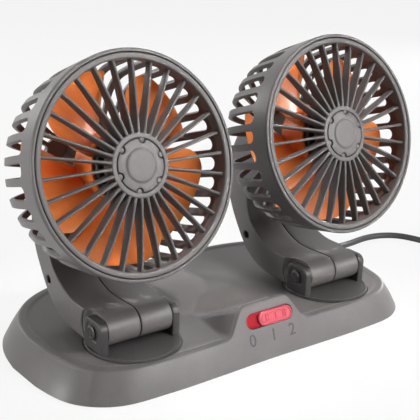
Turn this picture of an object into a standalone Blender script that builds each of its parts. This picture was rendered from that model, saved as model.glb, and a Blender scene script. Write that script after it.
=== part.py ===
"""Twin-head fan on one weighted base, as an assembly of separate pieces.

Each head blows through a spoked front grille, tilts on a hinge pin between two ears,
and swivels with the turntable that carries the ears. A slide switch sits in a raised
tab at the front of the base, and a thin lead leaves the base at its right rear.
Metres, +Z up, front towards -Y. The origin is the middle of the base, on the table.
"""
import bpy
import bmesh
from math import copysign, cos, hypot, pi, radians, sin, tau
from mathutils import Matrix, Vector

MM = 0.001

# Fits between pieces
GAP = 0.3 * MM            # clearance between pieces that touch
RUN_GAP = 0.6 * MM        # clearance of a piece that turns beside another
OVERRUN = 2.0 * MM        # how far a cutter passes the face that it cuts
BURY = 0.6 * MM           # how deep a fused feature sinks into its carrier

# Base housing
BASE_HALF_X = 100.7 * MM
BASE_HALF_Y = 52.5 * MM
SKIRT_OUT_X = 8.9 * MM    # how far the skirt spreads below the rim
SKIRT_OUT_Y = 6.1 * MM
SKIRT_BOTTOM = 1.2 * MM
RIM_TOP = 14.7 * MM
RIM_WIDTH = 4.0 * MM
FLOOR_TOP = 14.2 * MM
SHELL_WALL = 2.2 * MM
OUTLINE_STEPS = 40
# Right half of the rim seen from above, as shares of the half sizes, front to rear
OUTLINE_SHARES = [(0.0, -0.99), (0.28, -1.0), (0.55, -1.0), (0.78, -0.955), (0.93, -0.74),
                  (0.99, -0.38), (1.0, 0.0), (0.965, 0.34), (0.88, 0.62), (0.74, 0.83),
                  (0.54, 0.955), (0.28, 0.995), (0.0, 1.0)]
# Skirt section: share of the spread outwards, share of the height
SKIRT_SHARES = [(1.0, 0.0), (0.66, 0.42), (0.36, 0.74), (0.15, 0.93), (0.0, 1.0)]
CEILING_SHARE = 0.31      # spread of the skirt at the height of the shell's ceiling
# Rim section: share of its width inwards, share of the drop to the floor
RIM_SHARES = [(0.6, 0.0), (1.0, 1.0)]

# Saddle between the turntables
SADDLE_HALF = 36.0 * MM
SADDLE_HEIGHT = 6.2 * MM
SADDLE_RIDGE_Y = -11.0 * MM
SADDLE_RIDGE_SWEEP = 8.0 * MM
SADDLE_STATIONS = 9
# Section of the saddle: share from front to rear edge, share of the height
SADDLE_SHARES = [(0.0, 0.0), (0.5, 0.52), (0.9, 0.95), (1.06, 1.0), (1.3, 0.87), (1.6, 0.55), (2.0, 0.0)]
POCKET_DEPTH = 1.2 * MM   # the saddle's cover is let into the floor by this much

# Switch tab at the front of the base
FACE_LEAN_SHARE = 0.38    # how far the front face leans back for each unit of height
FACE_PROUD = 0.8 * MM     # the face passes this far in front of the rim
TAB_FOOT = 9.0 * MM
TAB_TOP = 28.0 * MM
TAB_FOOT_HALF = 27.4 * MM
TAB_TOP_HALF = 14.2 * MM
TAB_CORNER = 3.2 * MM
TAB_DEPTH = 21.0 * MM
TAB_BACK_DROP = 11.5 * MM
TAB_WIDEN_SHARE = 0.55    # how far the back has widened towards the foot's width
NOTCH_ROOM_SHARE = 1.3    # sideways room of the notch, as a share of the gap, for the flanks' slope

# Slide switch
SLOT_X = 2.0 * MM
SLOT_Z = 19.8 * MM
SLOT_LENGTH = 28.6 * MM
SLOT_HEIGHT = 7.2 * MM
SLOT_DEPTH = 9.0 * MM
KNOB_LENGTH = 21.2 * MM
KNOB_PROUD = 0.9 * MM
SWITCH_FACE = 2.0 * MM    # how deep the red floor of the slot lies
RIB_WIDTH = 0.6 * MM
RIB_HEIGHT = 0.45 * MM
RIB_LENGTH = 3.2 * MM
RIB_SPREAD = 6.0 * MM
RIB_SHARES = [-1.0, -0.78, 0.0, 0.78, 1.0]

# Turntables, hinge ears and pins
HEAD_PITCH = 123.4 * MM
TURN_Y = -27.5 * MM       # the turntable axes lie this far in front of the base's middle
DISC_RADIUS = 22.9 * MM
DISC_TOP = 15.0 * MM
DISC_THICK = 2.5 * MM
DISC_LIP = 0.9 * MM
DISC_LIP_RISE = 0.35 * MM
LEDGE_THICK = 2.2 * MM
BOSS_WALL = 2.4 * MM
SPIGOT_RADIUS = 9.0 * MM
SPIGOT_BORE = 5.0 * MM
SPIGOT_DROP = 0.3 * MM    # how far the spigot passes below the ledge
WASHER_RADIUS = 13.5 * MM
WASHER_THICK = 1.8 * MM
SMALL_SCREW = 0.9 * MM    # shank radius
SMALL_SCREW_HEAD = 1.7 * MM
SMALL_HEAD_THICK = 1.0 * MM
EAR_OUTER = 21.4 * MM
EAR_THICK = 4.0 * MM
EAR_RADIUS = 8.0 * MM
HINGE_RISE = 9.0 * MM     # hinge axis above the disc
HINGE_BACK = 0.3 * MM     # hinge axis behind the turntable axis
PIN_RADIUS = 2.0 * MM
PIN_CAP_RADIUS = 3.4 * MM
PIN_CAP_THICK = 0.9 * MM

# Arms
ARM_HALF = 20.4 * MM
ARM_TOP_SHARE = 0.78      # width of the arm at the head, as a share of its width below
SEAM = 0.3 * MM
BARREL_RADIUS = 7.7 * MM
ARM_EDGE = 0.8 * MM
ARM_SCREW_BACK = 44.7 * MM
ARM_SCREW_RISE = 9.0 * MM
ARM_HOLE = 2.1 * MM
ARM_HOLE_DEPTH = 11.0 * MM
ARM_THREAD = 1.35 * MM
ARM_SCREW_LENGTH = 16.0 * MM
PAD_HALF = 15.0 * MM
HEAD_SCREW_SPREAD = 9.5 * MM
HEAD_SCREW_REACH = 8.0 * MM
# Side view of the arm, as shares of how far back and up the pad's top edge lies
ARM_UNDER_SHARES = [(0.45, -0.097), (0.74, -0.07), (1.0, 0.02), (1.24, 0.20), (1.45, 0.41), (1.515, 0.60),
                    (1.43, 0.78), (1.16, 0.985)]
ARM_OVER_SHARES = [(0.93, 0.60), (1.055, 0.45), (1.01, 0.31), (0.85, 0.19), (0.50, 0.098)]
TAPER_START_SHARE = 0.2
TAPER_SPAN_SHARE = 0.6

# Heads
HEAD_TILT = 16.5          # degrees that each head leans back
HEAD_FRONT = 4.3 * MM     # centre of the front plane in front of the hinge axis
HEAD_RISE = 76.2 * MM     # centre of the front plane above the hinge axis
HEAD_RADIUS = 51.3 * MM
GRILLE_RADIUS = 49.6 * MM
GRILLE_RING = 3.7 * MM
HEAD_DEPTH = 44.8 * MM
HEAD_WALL = 2.2 * MM
# Outside of the housing from back to front: shares of the head's radius and depth
HOUSING_SHARES = [(0.78, 0.985), (0.915, 0.86), (0.955, 0.62), (1.0, 0.03), (0.986, 0.0)]
GRILLE_SEAT = 6.0 * MM    # depth of the step that the front grille rests on
REAR_BOSS_RADIUS = 15.5 * MM
REAR_BOSS_RISE = 1.4 * MM
WIRE_HOLE = 4.0 * MM
SLOTS = 32
SLOT_SHARE = 0.64         # slot width as a share of the slot spacing
SLOT_FRONT = 11.5 * MM
SLOT_INNER = 25.0 * MM
SLOT_ROUND_STEPS = 2
SPOKES = 30
SPOKE_THICK = 1.3 * MM
SPOKE_DEPTH = 7.2 * MM
SPOKE_DOME = 2.2 * MM
SPOKE_START_SHARE = 0.7   # front of the spokes at the hub, as a share of the hub's rise
SPOKE_THIN_SHARE = 0.56   # depth that a spoke loses towards the ring
SPOKE_FRONT_SHARE = 0.8   # width of a spoke's front edge, as a share of its rear edge
HUB_RADIUS = 13.8 * MM
HUB_FRONT = 1.0 * MM
HUB_REAR = 7.0 * MM
CAP_RADIUS = 11.0 * MM
CAP_RAISED = 7.4 * MM
CAP_THICK = 1.2 * MM
CAP_RISE = 0.6 * MM
NOTCHES = 6
NOTCH_TURN = 18.0         # degrees
NOTCH_RADIUS = 1.9 * MM
SPIN_SEGMENTS = 64

# Impeller and motor
BLADES = 5
BLADE_TURN = -15.0        # degrees, angle of the first blade
BLADE_SPAN = 60.0         # degrees that each blade covers
BLADE_SWEEP = 16.0        # degrees that the tip runs ahead of the root
BLADE_TIP = 44.5 * MM
BLADE_FRONT = 12.5 * MM
BLADE_REAR = 29.0 * MM
BLADE_THICK = 1.4 * MM
BLADE_STATION_SHARES = [0.0, 0.33, 0.66, 0.9, 1.0]
BLADE_RADIAL_SHARES = [0.0, 0.45, 0.85, 1.0]
BLADE_ROUND_SHARE = 0.5   # how far the front corner of the tip is rounded off
RING_INNER = 16.1 * MM
RING_WALL = 1.2 * MM
ROTOR_FRONT = 10.0 * MM
ROTOR_WALL = 1.4 * MM
STATOR_RADIUS = 13.2 * MM
STATOR_FRONT = 13.4 * MM
STATOR_BACK = 31.5 * MM
MOTOR_FLANGE = 17.0 * MM
MOTOR_FLANGE_THICK = 2.4 * MM
NECK_SHARE = 0.5          # neck between the motor's windings and its flange
SHAFT_RADIUS = 1.5 * MM

# Underside, board and fasteners
PLATE_THICK = 1.8 * MM
PLATE_BOTTOM = 1.5 * MM
PLATE_INSET = 4.2 * MM      # inside the skirt's lower edge
FOOT_RADIUS = 6.0 * MM
FOOT_TAPER_SHARE = 0.94
FOOT_X = 78.0 * MM
FOOT_Y = 37.0 * MM
POST_RADIUS = 3.6 * MM
POST_HOLE = 1.2 * MM
POST_FRONT = (30.0 * MM, -38.0 * MM)
POST_REAR = (70.0 * MM, 28.0 * MM)
BOARD_SIZE = (34.0 * MM, 20.0 * MM, 1.6 * MM)
BOARD_Y = 22.0 * MM
BOARD_POST = 2.0 * MM
BOARD_LIFT = 2.0 * MM
CHIP_SIZE = (9.0 * MM, 7.0 * MM, 2.0 * MM)
CHIP_SPACING = 11.0 * MM

# Lead, coil and plug
LEAD_RADIUS = 2.0 * MM
GLAND_TURN = 17.0         # degrees from +X to the way in which the lead leaves
GLAND_POINT = (101.5 * MM, 22.5 * MM, 6.0 * MM)
GLAND_OUT = 15.0 * MM
GLAND_IN = 5.5 * MM
GLAND_RADIUS = 2.9 * MM
GLAND_TIP = 2.35 * MM
GLAND_FLANGE = 4.6 * MM
GLAND_FLANGE_THICK = 1.6 * MM
# The lead's way over the table, chosen by hand: from the gland to the coil
LEAD_ROUTE = [(129.4, 30.9, 3.7), (144.1, 34.0, 2.05), (160.5, 35.9, 2.05),
              (173.1, 34.2, 2.05), (183.6, 27.6, 2.1), (189.4, 16.0, 2.3), (190.9, 3.0, 2.7)]
# From the coil to the plug
TAIL_ROUTE = [(253.5, -31.9, 6.2), (262.0, -23.0, 4.6), (266.6, -13.8, 4.3)]
ROUTE_STEP = 9.0 * MM
COIL_CENTRE = (223.0 * MM, -13.0 * MM)
COIL_INNER = 15.2 * MM
COIL_PITCH = 4.55 * MM
COIL_REST = 2.95 * MM     # height of the lower layer's centre, above the tie
COIL_START = 180.0        # degrees
COIL_TURNS = 7.35         # turns in all, in two layers
COIL_STEPS = 24           # points for each turn
COIL_TURN_BACK = 0.12     # turns over which the spiral reverses
PLUG_POINT = (268.2 * MM, -4.5 * MM)
PLUG_TURN = 90.0          # degrees from +X to the way in which the plug points
PLUG_LENGTH = 27.0 * MM
PLUG_EDGE = 1.2 * MM
# Grip of the plug: shares of its length, width and height
PLUG_SHARES = [(0.0, 0.42, 0.70), (0.22, 0.62, 0.86), (0.40, 1.0, 1.0), (1.0, 0.96, 0.96)]
PLUG_WIDTH = 15.6 * MM
PLUG_HEIGHT = 8.0 * MM
SHELL_LENGTH = 18.8 * MM
SHELL_WIDTH = 12.0 * MM
SHELL_HEIGHT = 4.5 * MM
SHELL_SHEET = 0.4 * MM
TIE_WIDTH = 7.0 * MM
TIE_THICK = 0.6 * MM
TIE_TURN = 120.0          # degrees round the coil


# Helpers

def clear_scene():
    for item in list(bpy.data.objects):
        bpy.data.objects.remove(item, do_unlink=True)


def new_collection(name):
    group = bpy.data.collections.new(name)
    bpy.context.scene.collection.children.link(group)
    return group


def finish_colour(name, red, green, blue, roughness, metallic=0.0):
    """One material: a Principled surface with the part's colour, roughness and metal share."""
    surface = bpy.data.materials.new(name)
    surface.use_nodes = True
    shader = surface.node_tree.nodes["Principled BSDF"]
    shader.inputs["Base Color"].default_value = (red, green, blue, 1.0)
    shader.inputs["Roughness"].default_value = roughness
    shader.inputs["Metallic"].default_value = metallic
    return surface


def frame_at(name, location, parent=None, turn=(0.0, 0.0, 0.0)):
    """An empty on a joint's axis, which carries the pieces that move about it."""
    empty = bpy.data.objects.new(name, None)
    parts.objects.link(empty)
    empty.parent = parent
    empty.location = location
    empty.rotation_euler = turn
    return empty


def add_object(name, mesh, owner, surface):
    item = bpy.data.objects.new(name, mesh)
    if surface is None:
        cutters.objects.link(item)
        item.hide_render = True
        item.display_type = "WIRE"
    else:
        parts.objects.link(item)
        mesh.materials.append(surface)
    item.parent = owner
    return item


def solid(name, shape, owner, surface):
    """An object from a bmesh of closed shapes. Without a surface it is a cutter or a joined piece."""
    bmesh.ops.recalc_face_normals(shape, faces=shape.faces)
    mesh = bpy.data.meshes.new(name)
    shape.to_mesh(mesh)
    shape.free()
    mesh.set_sharp_from_angle(angle=radians(32))
    return add_object(name, mesh, owner, surface)


def turned(name, profile, owner, surface, segments=SPIN_SEGMENTS):
    """A profile of (radius, height) points, turned about the local Z axis.

    It runs down the outer side. It closes on itself unless both its ends lie on the axis.
    """
    mesh = bpy.data.meshes.new(name)
    count = len(profile)
    links = [(i, i + 1) for i in range(count - 1)]
    if profile[0][0] > 0 or profile[-1][0] > 0:
        links.append((count - 1, 0))
    mesh.from_pydata([(radius, 0.0, height) for radius, height in profile], links, [])
    item = add_object(name, mesh, owner, surface)
    screw = item.modifiers.new("Turn", "SCREW")
    screw.axis = "Z"
    screw.steps = screw.render_steps = segments
    screw.use_merge_vertices = True
    screw.merge_threshold = 0.00001
    return item


def rod(shape, radius, start, end, segments=16, end_radius=None):
    """Adds a round bar or taper between two points to a bmesh."""
    start, end = Vector(start), Vector(end)
    along = end - start
    turn = along.to_track_quat("Z", "Y").to_matrix().to_4x4()
    bmesh.ops.create_cone(shape, cap_ends=True, segments=segments, radius1=radius,
                          radius2=radius if end_radius is None else end_radius,
                          depth=along.length, matrix=Matrix.Translation((start + end) / 2) @ turn)


def headed_bar(name, head, head_start, head_end, bar, tip, owner, surface, segments=6):
    """A screw or a pin: a round head joined to a thinner bar that ends at the tip."""
    shape = bmesh.new()
    rod(shape, head, head_start, head_end, segments)
    item = solid(name, shape, owner, surface)
    shank = bmesh.new()
    rod(shank, bar, (Vector(head_start) + Vector(head_end)) / 2, tip, segments)
    cut(item, solid(name + "_bar", shank, owner, None), "UNION")
    return item


def block(shape, centre, size):
    """Adds a box to a bmesh."""
    made = bmesh.ops.create_cube(shape, size=1.0)
    bmesh.ops.scale(shape, vec=size, verts=made["verts"])
    bmesh.ops.translate(shape, vec=centre, verts=made["verts"])


def loft(shape, rings, close_ends=True):
    """Joins rings of as many points each, and closes the first and last ring with a face."""
    rows = [[shape.verts.new(point) for point in ring] for ring in rings]
    count = len(rows[0])
    for low, high in zip(rows, rows[1:]):
        for i in range(count):
            j = (i + 1) % count
            shape.faces.new((low[i], low[j], high[j], high[i]))
    if close_ends:
        shape.faces.new(rows[0][::-1])
        shape.faces.new(rows[-1])
    return rows


def flat_outline(name, points, thickness, owner, surface, placing=None):
    """A flat outline in XY, filled and extruded, made a mesh and placed by a matrix."""
    curve = bpy.data.curves.new(name, "CURVE")
    curve.dimensions = "2D"
    curve.fill_mode = "BOTH"
    curve.extrude = thickness / 2
    spline = curve.splines.new("POLY")
    spline.points.add(len(points) - 1)
    for knot, (x, y) in zip(spline.points, points):
        knot.co = (x, y, 0.0, 1.0)
    spline.use_cyclic_u = True
    draft = bpy.data.objects.new(name + "_draft", curve)
    parts.objects.link(draft)
    bpy.context.view_layer.update()
    mesh = bpy.data.meshes.new_from_object(draft.evaluated_get(bpy.context.evaluated_depsgraph_get()))
    bpy.data.objects.remove(draft, do_unlink=True)
    shape = bmesh.new()
    shape.from_mesh(mesh)
    bpy.data.meshes.remove(mesh)
    bmesh.ops.remove_doubles(shape, verts=shape.verts, dist=0.000001)
    if placing is not None:
        bmesh.ops.transform(shape, matrix=placing, verts=shape.verts)
    return solid(name, shape, owner, surface)


def cut(item, tool, operation="DIFFERENCE"):
    """Cuts an object by a tool, or joins the tool to it."""
    step = item.modifiers.new(operation.title(), "BOOLEAN")
    step.operation = operation
    step.solver = "EXACT"
    step.object = tool


def bevel(item, width, segments=1, angle=35.0):
    step = item.modifiers.new("Edges", "BEVEL")
    step.width = width
    step.segments = segments
    step.limit_method = "ANGLE"
    step.angle_limit = radians(angle)
    step.harden_normals = False


def smooth_through(points, closed=False, steps=8):
    """Points on a smooth curve through the given ones (Catmull-Rom)."""
    points = [Vector(p) for p in points]
    count = len(points)
    pieces = count if closed else count - 1
    result = []
    for i in range(pieces):
        if closed:
            a, b, c, d = (points[(i + k - 1) % count] for k in range(4))
        else:
            a, b = points[max(i - 1, 0)], points[i]
            c, d = points[i + 1], points[min(i + 2, count - 1)]
        for k in range(steps):
            t = k / steps
            result.append(0.5 * (2 * b + (c - a) * t + (2 * a - 5 * b + 4 * c - d) * t ** 2
                                 + (3 * b - a - 3 * c + d) * t ** 3))
    if not closed:
        result.append(points[-1])
    return result


def path_length(points, closed=False):
    ends = points[1:] + points[:1] if closed else points[1:]
    return sum((b - a).length for a, b in zip(points, ends))


def evenly(points, count, closed=False):
    """As many points as asked for, spaced evenly along a path."""
    chain = points + points[:1] if closed else points
    total = path_length(points, closed)
    wanted = [total * k / (count if closed else count - 1) for k in range(count)]
    result, done, i = [], 0.0, 0
    for target in wanted:
        while i < len(chain) - 2 and done + (chain[i + 1] - chain[i]).length < target:
            done += (chain[i + 1] - chain[i]).length
            i += 1
        span = (chain[i + 1] - chain[i]).length
        result.append(chain[i].lerp(chain[i + 1], (target - done) / span))
    return result


def rounded_bar(length, height, steps=6):
    """Outline of a slot with round ends, as (x, y) points."""
    radius = height / 2
    points = []
    for side in (1, -1):
        for k in range(steps + 1):
            angle = -pi / 2 + pi * k / steps
            points.append((side * (length / 2 - radius + radius * cos(angle)), side * radius * sin(angle)))
    return points


# Base

def rim_outline():
    """Rim seen from above, anticlockwise from the front middle."""
    right = [(x * BASE_HALF_X, y * BASE_HALF_Y, 0.0) for x, y in OUTLINE_SHARES]
    left = [(-x, y, 0.0) for x, y, _ in right[-2:0:-1]]
    return evenly(smooth_through(right + left, closed=True), OUTLINE_STEPS, closed=True)


def outline_at(outline, out, height, inset=0.0):
    """The rim outline spread by a share of the skirt's spread, then drawn in by a length."""
    grow_x = 1 + (out * SKIRT_OUT_X - inset) / BASE_HALF_X
    grow_y = 1 + (out * SKIRT_OUT_Y - inset) / BASE_HALF_Y
    return [Vector((p.x * grow_x, p.y * grow_y, height)) for p in outline]


def saddle_ends():
    return -BASE_HALF_Y + RIM_WIDTH, BASE_HALF_Y - RIM_WIDTH - OVERRUN


def cover_pocket():
    """Shallow pocket in the floor that takes the foot of the saddle's cover."""
    front, rear = saddle_ends()
    low = FLOOR_TOP - POCKET_DEPTH
    shape = bmesh.new()
    block(shape, (0.0, (front + rear) / 2, (low + RIM_TOP + OVERRUN) / 2),
          (2 * (SADDLE_HALF + GAP), rear - front + 2 * GAP, RIM_TOP + OVERRUN - low))
    return solid("cover_pocket", shape, None, None)


def saddle_shape():
    """Low hump between the turntables: sections along X whose height falls off to each side."""
    front, rear = saddle_ends()
    rings = []
    for k in range(SADDLE_STATIONS):
        side = 2 * k / (SADDLE_STATIONS - 1) - 1
        height = SADDLE_HEIGHT * cos(side * pi / 2) ** 2
        ridge = SADDLE_RIDGE_Y + SADDLE_RIDGE_SWEEP * side ** 2
        ring = []
        for along, up in SADDLE_SHARES:
            y = front + (ridge - front) * along if along <= 1 else ridge + (rear - ridge) * (along - 1)
            ring.append(Vector((side * SADDLE_HALF, y, FLOOR_TOP + height * up)))
        under = FLOOR_TOP - POCKET_DEPTH + GAP
        ring.append(Vector((side * SADDLE_HALF, rear, under)))
        ring.append(Vector((side * SADDLE_HALF, front, under)))
        rings.append(ring)
    shape = bmesh.new()
    loft(shape, rings)
    return solid("centre_cover", shape, None, grey)


def face_y(height):
    """Where the tab's leaning front face lies at a height."""
    return -BASE_HALF_Y - FACE_PROUD + FACE_LEAN_SHARE * (height - RIM_TOP)


def tab_shape(name, room=0.0):
    """Wedge behind the switch: a trapezoid with round top corners that sinks back into the saddle.

    With room it is that much larger all round, and cuts the notch that the wedge stands in.
    """
    slope = Vector((TAB_TOP_HALF - TAB_FOOT_HALF, TAB_TOP - TAB_FOOT)).normalized()
    corner = Vector((TAB_TOP_HALF, TAB_TOP))
    side = [corner - slope * TAB_CORNER, corner, corner - Vector((TAB_CORNER, 0.0))]
    right = [Vector((TAB_FOOT_HALF, TAB_FOOT))]
    for k in range(5):
        t = k / 4
        right.append(side[0] * (1 - t) ** 2 + side[1] * 2 * t * (1 - t) + side[2] * t ** 2)
    outline = right + [Vector((-p.x, p.y)) for p in reversed(right)]
    front = [Vector((p.x, face_y(p.y), p.y)) for p in outline]
    drop = (TAB_TOP - TAB_BACK_DROP - TAB_FOOT) / (TAB_TOP - TAB_FOOT)
    back = []
    for p in front:
        wide = abs(p.x) + TAB_WIDEN_SHARE * (TAB_FOOT_HALF - abs(p.x))
        back.append(Vector((copysign(wide, p.x), p.y + TAB_DEPTH, TAB_FOOT + (p.z - TAB_FOOT) * drop)))
    if room:
        for ring, push in ((front, -room), (back, room)):
            for p in ring:
                p.x += copysign(room * NOTCH_ROOM_SHARE, p.x)
                p.y += push
                p.z += room if p.z > TAB_FOOT + room else -room
    shape = bmesh.new()
    loft(shape, [front, back])
    return solid(name, shape, None, None)


def switch_frame():
    """Matrix whose XY plane is the tab's front face at the slot, with Z into the tab."""
    up = Vector((0.0, FACE_LEAN_SHARE, 1.0)).normalized()
    inward = Vector((0.0, 1.0, -FACE_LEAN_SHARE)).normalized()
    place = Matrix.Identity(4)
    place.col[0][:3] = (1.0, 0.0, 0.0)
    place.col[1][:3] = up
    place.col[2][:3] = inward
    place.col[3][:3] = (SLOT_X, face_y(SLOT_Z), SLOT_Z)
    return place


def slot_block(name, length, height, near, far, surface):
    """A round-ended bar in the switch slot, from one depth to another behind the face."""
    # The frame is left-handed in X, Y, Z, so the outline is mirrored by its own symmetry.
    place = switch_frame() @ Matrix.Translation((0.0, 0.0, (near + far) / 2))
    return flat_outline(name, rounded_bar(length, height), far - near, None, surface, place)


def build_base():
    outline = rim_outline()
    skirt = [(out, SKIRT_BOTTOM + up * (RIM_TOP - SKIRT_BOTTOM)) for out, up in SKIRT_SHARES]
    ceiling = FLOOR_TOP - SHELL_WALL
    inside = [(out, z) for out, z in skirt if z < ceiling] + [(CEILING_SHARE, ceiling)]
    rings = [outline_at(outline, out, z, SHELL_WALL) for out, z in reversed(inside)]
    rings += [outline_at(outline, out, z) for out, z in skirt]
    for inward, drop in RIM_SHARES:
        rings.append(outline_at(outline, 0.0, RIM_TOP - drop * (RIM_TOP - FLOOR_TOP), inward * RIM_WIDTH))
    shape = bmesh.new()
    loft(shape, rings)
    base = solid("base_shell", shape, None, grey)
    cover = saddle_shape()
    cut(cover, tab_shape("tab"), "UNION")
    slot = slot_block("switch_slot", SLOT_LENGTH, SLOT_HEIGHT, -OVERRUN, SLOT_DEPTH, None)
    cut(cover, slot)
    ledge = DISC_TOP - DISC_THICK - GAP
    bosses = bmesh.new()
    for side in (-1, 1):
        x = side * HEAD_PITCH / 2
        rod(bosses, DISC_RADIUS + GAP + BOSS_WALL, (x, TURN_Y, ledge - LEDGE_THICK),
            (x, TURN_Y, FLOOR_TOP - SHELL_WALL / 2), 24)
    cut(base, solid("turntable_bosses", bosses, None, None), "UNION")
    posts = bmesh.new()
    holes = bmesh.new()
    for x, y in post_places():
        bottom = PLATE_BOTTOM + PLATE_THICK + GAP
        rod(posts, POST_RADIUS, (x, y, bottom), (x, y, FLOOR_TOP - SHELL_WALL / 2), 8)
        rod(holes, POST_HOLE, (x, y, bottom - OVERRUN), (x, y, FLOOR_TOP - SHELL_WALL), 6)
    cut(base, solid("screw_posts", posts, None, None), "UNION")
    cut(base, cover_pocket())
    cut(base, tab_shape("tab_notch", GAP))
    cut(base, solid("screw_holes", holes, None, None))
    for side in (-1, 1):
        seat = frame_at(f"seat_{side}", (side * HEAD_PITCH / 2, TURN_Y, 0.0))
        hole = SPIGOT_RADIUS + GAP
        well = DISC_RADIUS + GAP
        cut(base, turned(f"turntable_well_{side}", [
            (0.0, RIM_TOP + OVERRUN), (well, RIM_TOP + OVERRUN), (well, ledge), (hole, ledge),
            (hole, ledge - LEDGE_THICK - OVERRUN), (0.0, ledge - LEDGE_THICK - OVERRUN)],
            seat, None, 24))
    cut(base, slot)
    hole = bmesh.new()
    rod(hole, GLAND_RADIUS + GAP, gland_at(-GLAND_IN - OVERRUN), gland_at(GLAND_OUT), 16)
    cut(base, solid("gland_hole", hole, None, None))
    return outline


def post_places():
    return [(side * x, y) for x, y in (POST_FRONT, POST_REAR) for side in (-1, 1)]


def gland_at(distance):
    """A point on the gland's axis, outwards from the skirt."""
    turn = radians(GLAND_TURN)
    return Vector(GLAND_POINT) + distance * Vector((cos(turn), sin(turn), 0.0))


def build_underside(outline):
    inset_x = SKIRT_OUT_X - PLATE_INSET
    inset_y = SKIRT_OUT_Y - PLATE_INSET
    edge = [(p.x * (1 + inset_x / BASE_HALF_X), p.y * (1 + inset_y / BASE_HALF_Y)) for p in outline]
    place = Matrix.Translation((0.0, 0.0, PLATE_BOTTOM + PLATE_THICK / 2))
    plate = flat_outline("base_plate", edge, PLATE_THICK, None, dark, place)
    holes = bmesh.new()
    for x, y in post_places():
        rod(holes, POST_HOLE + GAP, (x, y, PLATE_BOTTOM - OVERRUN), (x, y, PLATE_BOTTOM + PLATE_THICK + OVERRUN), 6)
    cut(plate, solid("plate_holes", holes, None, None))
    notch = bmesh.new()
    rod(notch, GLAND_FLANGE + GAP, gland_at(-GLAND_IN - GLAND_FLANGE_THICK - GAP), gland_at(GLAND_OUT), 12)
    cut(plate, solid("gland_notch", notch, None, None))
    top = PLATE_BOTTOM + PLATE_THICK
    stand = bmesh.new()
    for x in (-1, 1):
        for y in (-1, 1):
            spot = (x * (BOARD_SIZE[0] / 2 - BOARD_POST), BOARD_Y + y * (BOARD_SIZE[1] / 2 - BOARD_POST))
            rod(stand, BOARD_POST, (*spot, top - PLATE_THICK / 2), (*spot, top + BOARD_LIFT), 6)
    cut(plate, solid("board_posts", stand, None, None), "UNION")
    seat = PLATE_BOTTOM - GAP
    tip = FLOOR_TOP - SHELL_WALL - OVERRUN
    for place, (x, y) in zip(("front_left", "front_right", "rear_left", "rear_right"), post_places()):
        headed_bar(f"plate_screw_{place}", SMALL_SCREW_HEAD, (x, y, seat - SMALL_HEAD_THICK), (x, y, seat),
                   SMALL_SCREW, (x, y, tip), None, steel)
    for front, y in (("front", -FOOT_Y), ("rear", FOOT_Y)):
        for hand, x in (("left", -FOOT_X), ("right", FOOT_X)):
            shape = bmesh.new()
            rod(shape, FOOT_RADIUS * FOOT_TAPER_SHARE, (x, y, 0.0), (x, y, PLATE_BOTTOM - GAP), 16, FOOT_RADIUS)
            solid(f"foot_{front}_{hand}", shape, None, rubber)
    bottom = top + BOARD_LIFT + GAP
    board = bmesh.new()
    block(board, (0.0, BOARD_Y, bottom + BOARD_SIZE[2] / 2), BOARD_SIZE)
    board = solid("circuit_board", board, None, board_green)
    chips = bmesh.new()
    for k in (-1, 0, 1):
        block(chips, (k * CHIP_SPACING, BOARD_Y, bottom + BOARD_SIZE[2] + CHIP_SIZE[2] / 2 - BURY / 2), CHIP_SIZE)
    cut(board, solid("chips", chips, None, None), "UNION")


def build_switch():
    body = slot_block("switch_body", SLOT_LENGTH - 2 * GAP, SLOT_HEIGHT - 2 * GAP, SWITCH_FACE,
                      SLOT_DEPTH - GAP, red)
    bevel(body, GAP)
    travel = (SLOT_LENGTH - 2 * GAP - KNOB_LENGTH) / 2
    slide = frame_at("switch_slide", (travel, 0.0, 0.0))
    knob = slot_block("switch_knob", KNOB_LENGTH, SLOT_HEIGHT - 2 * GAP, -KNOB_PROUD,
                      SWITCH_FACE - GAP, knob_red)
    ribs = bmesh.new()
    for share in RIB_SHARES:
        block(ribs, (share * RIB_SPREAD, 0.0, -KNOB_PROUD), (RIB_WIDTH, RIB_LENGTH, 2 * RIB_HEIGHT))
    bmesh.ops.transform(ribs, matrix=switch_frame(), verts=ribs.verts)
    ribs = solid("knob_ribs", ribs, None, None)
    cut(knob, ribs, "UNION")
    for item in (knob, ribs):
        item.parent = slide


def build_gland():
    """Bend protector through the skirt, held by a flange on the inside."""
    axis = frame_at("gland_axis", GLAND_POINT, None, (0.0, pi / 2, radians(GLAND_TURN)))
    back = -GLAND_IN - GLAND_FLANGE_THICK
    turned("cord_gland", [
        (0.0, GLAND_OUT), (GLAND_TIP, GLAND_OUT), (GLAND_RADIUS, 0.0), (GLAND_RADIUS, -GLAND_IN),
        (GLAND_FLANGE, -GLAND_IN), (GLAND_FLANGE, back), (0.0, back)], axis, rubber, 12)


# Turntables, hinges and arms

def arch_outline(radius, foot):
    """Round top over straight sides, for the hinge ears and the room that they need."""
    arc = [(radius * cos(pi * k / 8), radius * sin(pi * k / 8)) for k in range(9)]
    return arc + [(-radius, -foot), (radius, -foot)]


def side_plate(name, points, low, high, owner, surface):
    """An outline of (back, up) points, extruded along X from one side to the other."""
    place = Matrix(((0, 0, 1, (low + high) / 2), (1, 0, 0, 0), (0, 1, 0, 0), (0, 0, 0, 1)))
    return flat_outline(name, points, high - low, owner, surface, place)


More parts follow.
